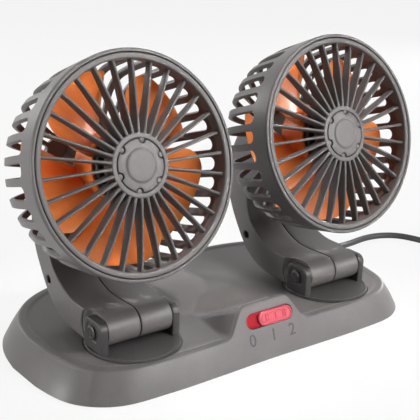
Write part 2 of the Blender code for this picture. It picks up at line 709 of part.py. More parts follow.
def build_turntable(hand, turn, hinge):
    ledge = DISC_THICK + GAP
    spigot = -ledge - LEDGE_THICK - SPIGOT_DROP
    lip = DISC_RADIUS - DISC_LIP
    table = turned(f"turntable_{hand}", [
        (SPIGOT_BORE, 0.0), (lip, 0.0), (lip + DISC_LIP_RISE, DISC_LIP_RISE),
        (DISC_RADIUS, DISC_LIP_RISE), (DISC_RADIUS, -DISC_THICK),
        (SPIGOT_RADIUS, -DISC_THICK), (SPIGOT_RADIUS, spigot), (SPIGOT_BORE, spigot)],
        turn, dark, 24)
    for side in (-1, 1):
        outer = side * EAR_OUTER
        inner = side * (EAR_OUTER - EAR_THICK)
        ear = side_plate(f"ear_{hand}_{side}", arch_outline(EAR_RADIUS, HINGE_RISE + BURY),
                         min(outer, inner), max(outer, inner), hinge, None)
        cut(table, ear, "UNION")
    bores = bmesh.new()
    rod(bores, PIN_RADIUS + GAP, (-EAR_OUTER - OVERRUN, 0.0, 0.0), (EAR_OUTER + OVERRUN, 0.0, 0.0), 12)
    cut(table, solid(f"ear_bores_{hand}", bores, hinge, None))
    middle = (SPIGOT_RADIUS + SPIGOT_BORE) / 2
    holes = bmesh.new()
    low = spigot - GAP - WASHER_THICK - GAP
    washer = turned(f"turntable_washer_{hand}", [
        (SPIGOT_BORE, spigot - GAP), (WASHER_RADIUS, spigot - GAP),
        (WASHER_RADIUS, spigot - GAP - WASHER_THICK), (SPIGOT_BORE, spigot - GAP - WASHER_THICK)],
        turn, steel, 12)
    for number, x in ((1, -middle), (2, middle)):
        rod(holes, SMALL_SCREW + GAP, (x, 0.0, low), (x, 0.0, -DISC_THICK), 6)
        headed_bar(f"washer_screw_{hand}_{number}", SMALL_SCREW_HEAD, (x, 0.0, low - SMALL_HEAD_THICK),
                   (x, 0.0, low), SMALL_SCREW, (x, 0.0, -DISC_THICK - GAP), turn, steel)
    holes = solid(f"washer_holes_{hand}", holes, turn, None)
    cut(table, holes)
    cut(washer, holes)


def build_pin(hand, hinge):
    """Headed hinge pin through both ears, with a cap pressed on its other end."""
    seat = EAR_OUTER + GAP
    headed_bar(f"hinge_pin_{hand}", PIN_CAP_RADIUS, (-seat - PIN_CAP_THICK, 0.0, 0.0), (-seat, 0.0, 0.0),
               PIN_RADIUS, (seat - GAP / 2, 0.0, 0.0), hinge, steel, 12)
    cap = bmesh.new()
    start = seat + GAP / 2
    rod(cap, PIN_CAP_RADIUS, (start, 0.0, 0.0), (start + PIN_CAP_THICK, 0.0, 0.0), 16,
        PIN_CAP_RADIUS - PIN_CAP_THICK / 2)
    solid(f"hinge_cap_{hand}", cap, hinge, dark)


def head_axis(depth, up=0.0):
    """Point (back, up) from the hinge axis, at a depth behind the head's front plane."""
    tilt = radians(HEAD_TILT)
    return Vector((-HEAD_FRONT + depth * cos(tilt) + up * sin(tilt), HEAD_RISE - depth * sin(tilt) + up * cos(tilt)))


def arm_outline():
    """Side view of the arm about the hinge: barrel, flat shank, sweep up, and pad behind the head."""
    pad = HEAD_DEPTH + REAR_BOSS_RISE + GAP
    top, bottom = head_axis(pad, PAD_HALF), head_axis(pad, -PAD_HALF)
    reach, rise = top.x, top.y
    under = [Vector((x * reach, y * rise)) for x, y in ARM_UNDER_SHARES]
    over = [Vector((x * reach, y * rise)) for x, y in ARM_OVER_SHARES]
    arc = [Vector((-BARREL_RADIUS * sin(pi * k / 9), BARREL_RADIUS * cos(pi * k / 9))) for k in range(10)]
    lower = smooth_through([arc[-1]] + under + [top], steps=2)
    upper = smooth_through([bottom] + over + [arc[0]], steps=2)
    return [(p.x, p.y) for p in arc[:-1] + lower + upper[:-1]]


def build_arm(hand, hinge):
    outline = arm_outline()
    tall = HEAD_RISE
    room = [side_plate(f"ear_room_{hand}_{side}", arch_outline(EAR_RADIUS + RUN_GAP, HINGE_RISE),
                       *sorted((side * (EAR_OUTER - EAR_THICK - GAP), side * (EAR_OUTER + OVERRUN))),
                       hinge, None) for side in (-1, 1)]
    bore = bmesh.new()
    rod(bore, PIN_RADIUS + GAP, (-ARM_HALF, 0.0, 0.0), (ARM_HALF, 0.0, 0.0), 12)
    bore = solid(f"arm_bore_{hand}", bore, hinge, None)
    spot = (ARM_SCREW_BACK, ARM_SCREW_RISE)
    screw_hole = bmesh.new()
    rod(screw_hole, ARM_THREAD, (-ARM_HOLE_DEPTH, *spot), (ARM_SCREW_LENGTH / 2 + GAP, *spot), 10)
    screw_hole = solid(f"arm_thread_{hand}", screw_hole, hinge, None)
    recess = bmesh.new()
    rod(recess, ARM_HOLE, (-ARM_HALF - OVERRUN, *spot), (-ARM_HALF + ARM_HOLE_DEPTH, *spot), 16)
    recess = solid(f"arm_recess_{hand}", recess, hinge, None)
    mount_holes = head_screw_holes(f"mount_holes_{hand}", hinge)
    for side, name, channel in ((-1, "left", room[0]), (1, "right", room[1])):
        low, high = sorted((side * SEAM / 2, side * ARM_HALF))
        half = side_plate(f"arm_{name}_half_{hand}", outline, low, high, hinge, grey)
        for vertex in half.data.vertices:
            t = min(max((vertex.co.z / tall - TAPER_START_SHARE) / TAPER_SPAN_SHARE, 0.0), 1.0)
            vertex.co.x *= 1 - (1 - ARM_TOP_SHARE) * t * t * (3 - 2 * t)
        bevel(half, ARM_EDGE)
        cut(half, channel)
        cut(half, bore)
        cut(half, screw_hole)
        cut(half, mount_holes)
        if side < 0:
            cut(half, recess)
    seat = -ARM_HALF + ARM_HOLE_DEPTH - GAP
    headed_bar(f"arm_screw_{hand}", ARM_HOLE - GAP, (seat - SMALL_HEAD_THICK - GAP, *spot), (seat, *spot),
               ARM_THREAD - GAP, (ARM_SCREW_LENGTH / 2, *spot), hinge, steel, 12)


def head_screw_holes(name, hinge):
    """Two holes through motor flange and housing into the arm, one each side of the arm's seam."""
    start = head_axis(HEAD_DEPTH - HEAD_WALL - MOTOR_FLANGE_THICK - OVERRUN)
    end = head_axis(HEAD_DEPTH + HEAD_SCREW_REACH + GAP)
    shape = bmesh.new()
    for x in (-HEAD_SCREW_SPREAD, HEAD_SCREW_SPREAD):
        rod(shape, SMALL_SCREW + GAP, (x, *start), (x, *end), 6)
    return solid(name, shape, hinge, None)


def build_head_screws(hand, hinge):
    seat = HEAD_DEPTH - HEAD_WALL - MOTOR_FLANGE_THICK - 2 * GAP
    start, end = head_axis(seat - SMALL_HEAD_THICK), head_axis(seat)
    tip = head_axis(HEAD_DEPTH + HEAD_SCREW_REACH)
    for number, x in ((1, -HEAD_SCREW_SPREAD), (2, HEAD_SCREW_SPREAD)):
        headed_bar(f"head_screw_{hand}_{number}", SMALL_SCREW_HEAD, (x, *start), (x, *end),
                   SMALL_SCREW, (x, *tip), hinge, steel)


# Heads

def offset_inwards(points, distance):
    """Moves an outer (radius, height) profile inwards by a wall, along its own normals."""
    moved = []
    for i, (radius, height) in enumerate(points):
        before = points[max(i - 1, 0)]
        after = points[min(i + 1, len(points) - 1)]
        run, fall = after[0] - before[0], after[1] - before[1]
        size = hypot(run, fall)
        moved.append((radius + distance * fall / size, height - distance * run / size))
    return moved


def build_housing(hand, head, hinge):
    outer = [(r * HEAD_RADIUS, d * HEAD_DEPTH) for r, d in HOUSING_SHARES]
    inner = [p for p in offset_inwards(outer, HEAD_WALL) if p[1] > GRILLE_SEAT and p[0] > REAR_BOSS_RADIUS]
    seat = GRILLE_RADIUS + RUN_GAP / 2 + GAP
    boss = HEAD_DEPTH + REAR_BOSS_RISE
    profile = [(WIRE_HOLE, boss), (REAR_BOSS_RADIUS, boss), (REAR_BOSS_RADIUS, HEAD_DEPTH)] + outer
    profile += [(seat, 0.0), (seat, GRILLE_SEAT), (inner[-1][0], GRILLE_SEAT)] + inner[::-1]
    profile += [(WIRE_HOLE, HEAD_DEPTH - HEAD_WALL)]
    housing = turned(f"rear_housing_{hand}", profile, head, grey, SLOTS)
    shape = bmesh.new()
    half = SLOT_SHARE * pi / SLOTS
    rounding = half * HEAD_RADIUS
    edge = [(-half, HEAD_DEPTH + OVERRUN)]
    for k in range(SLOT_ROUND_STEPS + 1):
        turn = pi * k / SLOT_ROUND_STEPS
        edge.append((-half * cos(turn), SLOT_FRONT + rounding * (1 - sin(turn))))
    edge.append((half, HEAD_DEPTH + OVERRUN))
    for k in range(SLOTS):
        middle = (k + 0.5) * tau / SLOTS
        rings = [[(r * cos(middle + a), r * sin(middle + a), d) for a, d in edge]
                 for r in (SLOT_INNER, HEAD_RADIUS + OVERRUN)]
        loft(shape, rings)
    cut(housing, solid(f"housing_slots_{hand}", shape, head, None))
    cut(housing, head_screw_holes(f"housing_screw_holes_{hand}", hinge))


def build_grille(hand, head):
    """Front ring, hub ring and deep spokes, fused as one moulding."""
    inner = GRILLE_RADIUS - GRILLE_RING
    round_off = GRILLE_RING * 0.2
    depth = GRILLE_SEAT - GAP
    ring = turned(f"front_grille_{hand}", [
        (inner, depth), (GRILLE_RADIUS, depth), (GRILLE_RADIUS, round_off), (GRILLE_RADIUS - round_off, 0.0),
        (inner, 0.0)], head, grey, SPOKES)
    ring.rotation_euler.z = pi / SPOKES
    face = -HUB_FRONT
    well = CAP_RADIUS + GAP
    floor = face + CAP_THICK + GAP
    hub = turned(f"grille_hub_{hand}", [
        (0.0, HUB_REAR), (HUB_RADIUS, HUB_REAR), (HUB_RADIUS, face), (well, face), (well, floor),
        (0.0, floor)], head, None, SPOKES)
    hub.rotation_euler.z = pi / SPOKES
    cut(ring, hub, "UNION")
    spokes = bmesh.new()
    reach = inner + GRILLE_RING / 2
    start = HUB_RADIUS - BURY
    for k in range(SPOKES):
        turn = Matrix.Rotation(k * tau / SPOKES, 3, "Z")
        rings = []
        for share in (0.0, 0.45, 1.0):
            radius = start + (reach - start) * share
            front = -HUB_FRONT * SPOKE_START_SHARE * (1 - share) + SPOKE_DOME * share ** 2
            rear = front + SPOKE_DEPTH * (1 - share * SPOKE_THIN_SHARE)
            half = SPOKE_THICK / 2
            ring_points = [(radius, -half * SPOKE_FRONT_SHARE, front), (radius, half * SPOKE_FRONT_SHARE, front),
                           (radius, half, rear), (radius, -half, rear)]
            rings.append([turn @ Vector(p) for p in ring_points])
        loft(spokes, rings)
    cut(ring, solid(f"spokes_{hand}", spokes, head, None), "UNION")
    cap_floor = floor - GAP
    cap = turned(f"hub_cap_{hand}", [
        (0.0, cap_floor), (CAP_RADIUS, cap_floor), (CAP_RADIUS, face), (CAP_RAISED, face),
        (CAP_RAISED - CAP_RISE, face - CAP_RISE), (0.0, face - CAP_RISE)], head, grey, 18)
    notches = bmesh.new()
    for spot in notch_places(CAP_RADIUS):
        rod(notches, NOTCH_RADIUS, (*spot, floor + OVERRUN), (*spot, face - CAP_RISE - OVERRUN), 6)
    cut(cap, solid(f"cap_notches_{hand}", notches, head, None))


def notch_places(radius):
    angles = [radians(-NOTCH_TURN + k * 360 / NOTCHES) for k in range(NOTCHES)]
    return [(radius * cos(a), radius * sin(a)) for a in angles]


def build_impeller(hand, head):
    """Blade ring pressed round the rotor cup. Each blade is a twisted sheet with a round tip corner."""
    wheel = turned(f"impeller_{hand}", [
        (RING_INNER, BLADE_REAR), (RING_INNER + RING_WALL, BLADE_REAR), (RING_INNER + RING_WALL, BLADE_FRONT),
        (RING_INNER, BLADE_FRONT)], head, orange, 25)
    shape = bmesh.new()
    root = RING_INNER + RING_WALL / 2
    for k in range(BLADES):
        base_turn = -radians(BLADE_TURN + k * 360 / BLADES)
        rings = []
        for share in BLADE_STATION_SHARES:
            ring = {1: [], -1: []}
            for out in BLADE_RADIAL_SHARES:
                radius = root + (BLADE_TIP - root) * out
                tuck = BLADE_ROUND_SHARE * max(0.0, share - 0.6) * out ** 6
                radius -= (BLADE_TIP - root) * tuck
                span = radians(BLADE_SPAN) * (share - 0.5)
                angle = base_turn - span + radians(BLADE_SWEEP) * out ** 1.5
                depth = BLADE_REAR + (BLADE_FRONT - BLADE_REAR) * (0.5 + (share - 0.5) * (1 - 0.25 * out))
                for side in (1, -1):
                    ring[side].append(Vector((radius * cos(angle), radius * sin(angle),
                                              depth + side * BLADE_THICK / 2)))
            rings.append(ring[1] + ring[-1][::-1])
        loft(shape, rings)
    cut(wheel, solid(f"blades_{hand}", shape, head, None), "UNION")


def build_motor(hand, head, hinge):
    outer = RING_INNER - GAP
    inner = outer - ROTOR_WALL
    behind = ROTOR_FRONT + ROTOR_WALL
    turned(f"rotor_cup_{hand}", [
        (0.0, behind), (inner, behind), (inner, BLADE_REAR), (outer, BLADE_REAR), (outer, behind),
        (inner, ROTOR_FRONT), (0.0, ROTOR_FRONT)], head, black, 25)
    floor = HEAD_DEPTH - HEAD_WALL - GAP
    neck = STATOR_RADIUS * NECK_SHARE
    motor = turned(f"motor_{hand}", [
        (SHAFT_RADIUS + GAP, floor), (MOTOR_FLANGE, floor), (MOTOR_FLANGE, floor - MOTOR_FLANGE_THICK),
        (neck, floor - MOTOR_FLANGE_THICK), (neck, STATOR_BACK), (STATOR_RADIUS, STATOR_BACK),
        (STATOR_RADIUS, STATOR_FRONT), (SHAFT_RADIUS + GAP, STATOR_FRONT)], head, steel, 14)
    cut(motor, head_screw_holes(f"flange_holes_{hand}", hinge))
    shape = bmesh.new()
    rod(shape, SHAFT_RADIUS, (0.0, 0.0, behind + GAP), (0.0, 0.0, floor - GAP), 10)
    solid(f"motor_shaft_{hand}", shape, head, steel)


def build_unit(hand, side):
    """One turntable with its arm and head."""
    turn = frame_at(f"swivel_{hand}", (side * HEAD_PITCH / 2, TURN_Y, DISC_TOP))
    hinge = frame_at(f"tilt_{hand}", (0.0, HINGE_BACK, HINGE_RISE), turn)
    tilt = radians(90 + HEAD_TILT)
    head = frame_at(f"head_{hand}", (0.0, -HEAD_FRONT, HEAD_RISE), hinge, (-tilt, 0.0, 0.0))
    build_turntable(hand, turn, hinge)
    build_pin(hand, hinge)
    build_arm(hand, hinge)
    build_head_screws(hand, hinge)
    build_housing(hand, head, hinge)
    build_grille(hand, head)
    build_impeller(hand, head)
    build_motor(hand, head, hinge)


# Lead, coil and plug

def tube(name, points, radius, resolution, surface):
    """A round bar along a list of points, with filled ends."""
    curve = bpy.data.curves.new(name, "CURVE")
    curve.dimensions = "3D"
    curve.bevel_depth = radius
    curve.bevel_resolution = resolution
    curve.use_fill_caps = True
    spline = curve.splines.new("POLY")
    spline.points.add(len(points) - 1)
    for knot, point in zip(spline.points, points):
        knot.co = (*point, 1.0)
    return add_object(name, curve, None, surface)


def coil_points():
    """Two layers: in along the table, up one lead's width where it turns back, and out above."""
    count = round(COIL_TURNS * COIL_STEPS)
    middle = COIL_TURNS / 2
    points = []
    for k in range(count + 1):
        t = COIL_TURNS * k / count
        radius = COIL_INNER + COIL_PITCH * hypot(t - middle, COIL_TURN_BACK)
        climb = min(max((t - middle) * 2 + 0.5, 0.0), 1.0)
        height = COIL_REST + COIL_PITCH * climb * climb * (3 - 2 * climb)
        angle = radians(COIL_START) + tau * t
        points.append(Vector((COIL_CENTRE[0] + radius * cos(angle), COIL_CENTRE[1] + radius * sin(angle),
                              height)))
    return points


def least_gap(points):
    """Least clear distance between turns of the coil, measured on its points."""
    skip = COIL_STEPS // 2
    least = min((points[i] - points[j]).length
                for i in range(len(points)) for j in range(i + skip, len(points)))
    return least - 2 * LEAD_RADIUS


def lead_between(start, start_way, middle_points, end, end_way):
    """A smooth way that leaves and arrives straight, read at even steps."""
    first, last = Vector(start), Vector(end)
    knots = [first + Vector(start_way) * 2 * LEAD_RADIUS]
    knots += [Vector(p) * MM for p in middle_points]
    knots += [last - Vector(end_way) * 2 * LEAD_RADIUS]
    path = smooth_through(knots, steps=10)
    return [first] + evenly(path, max(round(path_length(path) / ROUTE_STEP), 4) + 1) + [last]


def build_lead():
    turns = coil_points()
    way_in = (turns[1] - turns[0]).normalized()
    way_out = (turns[-1] - turns[-2]).normalized()
    gland_way = gland_at(1.0) - gland_at(0.0)
    route = lead_between(gland_at(GLAND_OUT + GAP), gland_way, LEAD_ROUTE, turns[0] - way_in * GAP, way_in)
    tube("cord_lead", route, LEAD_RADIUS, 2, cord_grey)
    tube("cord_coil", turns, LEAD_RADIUS, 1, cord_grey)
    plug_start = Vector((*PLUG_POINT, PLUG_HEIGHT / 2 + GAP))
    plug_way = Vector((cos(radians(PLUG_TURN)), sin(radians(PLUG_TURN)), 0.0))
    tail = lead_between(turns[-1] + way_out * GAP, way_out, TAIL_ROUTE, plug_start - plug_way * GAP, plug_way)
    tube("cord_tail", tail, LEAD_RADIUS, 2, cord_grey)
    total = path_length(route) + path_length(turns) + path_length(tail)
    print(f"lead {path_length(route):.4f} coil {path_length(turns):.4f} tail {path_length(tail):.4f} total {total:.4f} m")
    print(f"least gap between turns {least_gap(turns) / MM:.3f} mm")
    build_plug(plug_start, plug_way)
    build_tie(turns)


def build_plug(start, way):
    """USB-A plug: moulded grip, folded metal sleeve and the tongue inside it."""
    side = Vector((-way.y, way.x, 0.0))
    place = Matrix.Identity(4)
    place.col[0][:3] = way
    place.col[1][:3] = side
    place.col[3][:3] = start
    shape = bmesh.new()
    rings = []
    for along, wide, high in PLUG_SHARES:
        points = []
        for y, z in ((-1, -1), (1, -1), (1, 1), (-1, 1)):
            points.append(place @ Vector((along * PLUG_LENGTH, y * wide * PLUG_WIDTH / 2, z * high * PLUG_HEIGHT / 2)))
        rings.append(points)
    loft(shape, rings)
    grip = solid("plug_grip", shape, None, cord_grey)
    bevel(grip, PLUG_EDGE)
    sleeve = bmesh.new()
    block(sleeve, (PLUG_LENGTH + GAP + SHELL_LENGTH / 2, 0.0, 0.0), (SHELL_LENGTH, SHELL_WIDTH, SHELL_HEIGHT))
    bmesh.ops.transform(sleeve, matrix=place, verts=sleeve.verts)
    sleeve = solid("plug_sleeve", sleeve, None, steel)
    hollow = bmesh.new()
    block(hollow, (PLUG_LENGTH + GAP + SHELL_SHEET + SHELL_LENGTH / 2, 0.0, 0.0),
          (SHELL_LENGTH, SHELL_WIDTH - 2 * SHELL_SHEET, SHELL_HEIGHT - 2 * SHELL_SHEET))
    bmesh.ops.transform(hollow, matrix=place, verts=hollow.verts)
    cut(sleeve, solid("sleeve_hollow", hollow, None, None))
    tongue = bmesh.new()
    tongue_high = (SHELL_HEIGHT - 2 * SHELL_SHEET) * 0.48
    front = PLUG_LENGTH + SHELL_LENGTH - GAP
    back = PLUG_LENGTH + GAP + SHELL_SHEET + GAP
    block(tongue, ((front + back) / 2, 0.0, -SHELL_HEIGHT / 2 + SHELL_SHEET + GAP + tongue_high / 2),
          (front - back, SHELL_WIDTH - 2 * SHELL_SHEET - 2 * GAP, tongue_high))
    bmesh.ops.transform(tongue, matrix=place, verts=tongue.verts)
    solid("plug_tongue", tongue, None, black)


def build_tie(turns):
    """Soft strap round one side of the coil, closed under it."""
    place = Matrix.Translation((*COIL_CENTRE, 0.0)) @ Matrix.Rotation(radians(TIE_TURN), 4, "Z")
    near = [place.inverted() @ p for p in turns]
    near = [p for p in near if p.x > 0 and abs(p.y) < TIE_WIDTH / 2 + LEAD_RADIUS]
    reach = LEAD_RADIUS + GAP
    low = min(p.x for p in near) - reach
    high = max(p.x for p in near) + reach
    top = max(p.z for p in near) + reach
    room = bmesh.new()
    block(room, ((low + high) / 2, 0.0, (TIE_THICK + top) / 2), (high - low, TIE_WIDTH * 2, top - TIE_THICK))
    band = bmesh.new()
    block(band, ((low + high) / 2, 0.0, (top + TIE_THICK) / 2),
          (high - low + 2 * TIE_THICK, TIE_WIDTH, top + TIE_THICK))
    for shape in (room, band):
        bmesh.ops.transform(shape, matrix=place, verts=shape.verts)
    tie = solid("cord_tie", band, None, rubber)
    cut(tie, solid("tie_room", room, None, None))


clear_scene()
parts = new_collection("twin_head_fan")
cutters = new_collection("cutters")
grey = finish_colour("warm graphite plastic", 0.20, 0.185, 0.178, 0.42)
dark = finish_colour("dark graphite plastic", 0.075, 0.070, 0.068, 0.40)
black = finish_colour("black plastic", 0.012, 0.012, 0.013, 0.45)
orange = finish_colour("orange plastic", 0.83, 0.20, 0.03, 0.38)
red = finish_colour("red switch base", 0.55, 0.01, 0.03, 0.35)
knob_red = finish_colour("red switch knob", 0.80, 0.12, 0.15, 0.30)
steel = finish_colour("zinc steel", 0.62, 0.62, 0.60, 0.30, 1.0)
rubber = finish_colour("black rubber", 0.02, 0.02, 0.02, 0.70)
board_green = finish_colour("circuit board", 0.02, 0.18, 0.07, 0.45)
cord_grey = finish_colour("lead jacket", 0.07, 0.068, 0.07, 0.50)
build_underside(build_base())
build_switch()
build_gland()
for unit, place_side in (("left", -1), ("right", 1)):
    build_unit(unit, place_side)
build_lead()
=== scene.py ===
"""Looks of a twin-head fan: moulded plastic surfaces worked out with numpy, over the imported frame.

Lengths are in metres, in the frame's own axes: +Z up, the front towards -Y. A piece of a head
is worked out in the head's own axes (across, down, deep) and then carried to its place.
"""
from math import cos, pi, radians, sin, tau

import bmesh
import bpy
import numpy as np
from mathutils import Matrix, Vector


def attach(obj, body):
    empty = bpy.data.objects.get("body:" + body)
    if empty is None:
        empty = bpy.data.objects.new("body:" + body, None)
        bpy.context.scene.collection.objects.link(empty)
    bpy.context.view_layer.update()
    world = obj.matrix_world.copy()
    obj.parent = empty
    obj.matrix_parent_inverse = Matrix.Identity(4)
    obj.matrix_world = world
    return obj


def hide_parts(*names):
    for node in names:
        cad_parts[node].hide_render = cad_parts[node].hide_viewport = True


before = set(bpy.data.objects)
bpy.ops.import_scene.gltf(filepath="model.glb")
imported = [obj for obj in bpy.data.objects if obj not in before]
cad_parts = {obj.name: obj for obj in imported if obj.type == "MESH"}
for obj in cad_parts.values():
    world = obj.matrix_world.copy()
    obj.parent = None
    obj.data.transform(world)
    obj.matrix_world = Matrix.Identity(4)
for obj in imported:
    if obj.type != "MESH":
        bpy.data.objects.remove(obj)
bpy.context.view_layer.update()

MM = 0.001
HANDS = {"left": -1, "right": 1}

# Sizes shared with the solids: millimetres, heights up from the table, angles in radians
# Base: half lengths of the rim's outline, spread of the skirt below it (across, in depth), and levels
BASE_HALF = (100.7, 52.5)
SKIRT_OUT = (8.9, 6.04)
SKIRT_BOTTOM = 1.2
RIM_TOP = 14.7
RIM_FLAT = 2.4
RIM_WIDTH = 4.0
EDGE_ROUND = 0.9
FLOOR_TOP = 14.2
CEILING = 12.0
WALL = 2.2
# Right half of the rim's outline from front to rear, in shares of BASE_HALF
OUTLINE = [(0.0, -0.99), (0.28, -1.0), (0.55, -1.0), (0.78, -0.955), (0.93, -0.74),
           (0.99, -0.38), (1.0, 0.0), (0.965, 0.34), (0.88, 0.62), (0.74, 0.83),
           (0.54, 0.955), (0.28, 0.995), (0.0, 1.0)]
# Section of the skirt from its foot to the rim: (share of its spread, share of its height)
SKIRT = [(1.0, 0.0), (0.66, 0.42), (0.36, 0.74), (0.15, 0.93), (0.0, 1.0)]
# Hump between the turntables: half width, height, where its ridge runs and how far that bows back, and
# its section from front rim to rear rim: (share of the way, with the ridge at 1; share of the height)
SADDLE_HALF = 36.0
SADDLE_HEIGHT = 6.2
RIDGE_Y = -11.0
RIDGE_BOW = 8.0
SADDLE = [(0.0, 0.0), (0.5, 0.52), (0.9, 0.95), (1.06, 1.0), (1.3, 0.87), (1.6, 0.55), (2.0, 0.0)]
# Switch tab: (half width, height) of its foot and of its top corner, and its depth, with the share by
# which it has widened and the share of its height that is left at the back
TAB_FOOT = (27.4, 9.0)
TAB_TOP = (14.2, 28.0)
TAB_CORNER = 3.6
TAB_DEPTH = 21.0
TAB_WIDEN = 0.55
TAB_BACK = 0.395
# The tab's face: its slope, its y at the rim's height, and the places (half width, height) at which the
# skirt starts to be drawn to it, with the lengths over which that grows to all of it
FACE_LEAN = 0.38
FACE_AT_RIM = -53.3
PULL_START = (31.0, 4.0)
PULL_LENGTH = (11.0, 9.0)
# Switch: the slot's middle (across, up) and size, its knob, and the marks below it with their places
SLOT_AT = (1.7, 20.1)
SLOT_SIZE = (29.2, 7.9)
SLOT_DEPTH = 9.0
KNOB_LENGTH = 21.2
KNOB_SHIFT = 3.6
MARKS = {"0": -10.8, "1": 2.4, "2": 14.2}
MARK_SIZE = 8.6
MARK_HEIGHT = 11.4
MARK_SUNK = 0.12
# Turntables: distance between the two, how far in front of the middle they are, disc and well, and the
# hinge's place (back, up) from a turntable's middle on the table
HEAD_PITCH = 123.4
TURN_Y = -27.5
DISC_TOP = 15.0
DISC_RADIUS = 22.8
WELL_RADIUS = 23.35
HINGE = (0.3, 24.0)
# Heads: tilt, the front's middle (ahead of and above the hinge), depth and wall
HEAD_TILT = radians(16.5)
HEAD_FRONT = 4.3
HEAD_RISE = 76.2
HEAD_DEPTH = 44.8
HEAD_WALL = 2.2
# Hinge ears: half width, top and foot about the hinge, and corner radius
EAR_HALF = 7.8
EAR_TOP = 6.1
EAR_CORNER = 4.2
EAR_FOOT = 9.4


# Curves and meshes

def smooth_curve(points, steps=8, closed=False):
    """Points on a Catmull-Rom curve: between b and c it is half of 2b + (c-a)t
    + (2a-5b+4c-d)t^2 + (3b-a-3c+d)t^3, with a and d the points beyond them."""
    p = np.asarray(points, float)
    n = len(p)
    i = np.arange(n if closed else n - 1)
    if closed:
        a, b, c, d = p[i - 1], p[i], p[(i + 1) % n], p[(i + 2) % n]
    else:
        a, b, c, d = p[np.maximum(i - 1, 0)], p[i], p[i + 1], p[np.minimum(i + 2, n - 1)]
    t = (np.arange(steps) / steps)[None, :, None]
    a, b, c, d = (q[:, None, :] for q in (a, b, c, d))
    curve = 0.5 * (2 * b + (c - a) * t + (2 * a - 5 * b + 4 * c - d) * t ** 2
                   + (3 * b - a - 3 * c + d) * t ** 3)
    curve = curve.reshape(-1, p.shape[1])
    return curve if closed else np.vstack([curve, p[-1]])


def arc_lengths(points):
    """Distance along a path to each of its points: the running sum of the steps' lengths."""
    return np.concatenate([[0.0], np.cumsum(np.linalg.norm(np.diff(points, axis=0), axis=1))])


def read_path(points, places):
    """Points at given distances along a path, each coordinate read in proportion."""
    done = arc_lengths(points)
    return np.stack([np.interp(places, done, column) for column in np.asarray(points).T], -1)


def rounded(points, radius, steps=5):
    """A polyline with each inner corner replaced by a parabola that starts and ends
    a radius away from the corner, or at the middle of a shorter side."""
    p = [np.asarray(q, float) for q in points]
    result = [p[0]]
    t = np.linspace(0.0, 1.0, steps + 1)[:, None]
    for before, corner, after in zip(p, p[1:], p[2:]):
        ends = []
        for other in (before, after):
            side = other - corner
            ends.append(corner + side * min(radius / np.linalg.norm(side), 0.5))
        result += list(ends[0] * (1 - t) ** 2 + corner * 2 * t * (1 - t) + ends[1] * t ** 2)
    return np.array(result + [p[-1]])


def smooth_step(value):
    """Zero below 0, one above 1, and 3t^2 - 2t^3 between."""
    t = np.clip(value, 0.0, 1.0)
    return t * t * (3 - 2 * t)


class Draft:
    """Grids of points that become one mesh, in millimetres until they are placed."""

    def __init__(self):
        self.points = []
        self.faces = []
        self.count = 0

    def add(self, points, faces):
        """Points with the faces between them, which count from the first of these points."""
        self.points.append(np.asarray(points, float).reshape(-1, 3))
        self.faces += (np.asarray(faces) + self.count).tolist()
        self.count += len(self.points[-1])

    def sheet(self, points, around=True, caps=(False, False)):
        """Quads between the rows of a rows x columns grid, closed around the columns if asked,
        with the first and last row filled where caps says so."""
        points = np.asarray(points, float)
        rows, columns = points.shape[:2]
        i = np.arange(rows - 1)[:, None]
        j = np.arange(columns if around else columns - 1)[None, :]
        k = (j + 1) % columns
        corners = np.broadcast_arrays(i * columns + j, i * columns + k,
                                      (i + 1) * columns + k, (i + 1) * columns + j)
        first = self.count
        self.add(points, np.stack(corners, -1).reshape(-1, 4))
        if caps[0]:
            self.faces.append(list(range(first, first + columns))[::-1])
        if caps[1]:
            self.faces.append(list(range(self.count - columns, self.count)))

    def lathe(self, profile, segments, closed=True, at=(0.0, 0.0, 0.0)):
        """A profile of (radius, depth) points turned about the depth axis: x is r cos a, y is r sin a."""
        a = np.arange(segments) * tau / segments
        r, d = np.asarray(profile, float).T
        grid = np.stack([np.outer(r, np.cos(a)), np.outer(r, np.sin(a)), np.outer(d, np.ones(segments))], -1)
        grid = grid + at
        self.sheet(np.concatenate([grid, grid[:1]]) if closed else grid)

    def mesh(self, name, carry=None):
        """One mesh in metres. Points nearer than 2 micrometres are joined, which closes seams and poles,
        and the faces are then turned outwards."""
        points = np.concatenate(self.points)
        if carry is not None:
            points = carry(points)
        mesh = bpy.data.meshes.new(name)
        mesh.from_pydata((points * MM).tolist(), [], self.faces)
        shape = bmesh.new()
        shape.from_mesh(mesh)
        bmesh.ops.remove_doubles(shape, verts=shape.verts, dist=2e-6)
        bmesh.ops.dissolve_degenerate(shape, edges=shape.edges, dist=1e-7)
        bmesh.ops.recalc_face_normals(shape, faces=shape.faces)
        shape.to_mesh(mesh)
        shape.free()
        return mesh


def add_object(name, data):
    """A new object at the origin."""
    item = bpy.data.objects.new(name, data)
    bpy.context.scene.collection.objects.link(item)
    return item


def bevel(item, width, segments=2, angle=35.0):
    """Rounds the edges that are sharper than an angle."""
    step = item.modifiers.new("edges", "BEVEL")
    step.width = width * MM
    step.segments = segments
    step.limit_method = "ANGLE"
    step.angle_limit = radians(angle)


def settle(item, sharp=32.0):
    """Applies an object's modifiers, and shades it smooth but for edges sharper than an angle."""
    bpy.context.view_layer.update()
    seen = item.evaluated_get(bpy.context.evaluated_depsgraph_get())
    mesh = bpy.data.meshes.new_from_object(seen)
    item.modifiers.clear()
    item.data = mesh
    mesh.shade_smooth()
    mesh.set_sharp_from_angle(angle=radians(sharp))


def dress(item, surface, body, slot, *replaced):
    """Gives a finished piece its material and its body, and hides the nodes that it stands for. Its slot is
    not used.
    """
    item.data.materials.clear()
    item.data.materials.append(surface)
    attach(item, body)
    if replaced:
        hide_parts(*replaced)
    return item


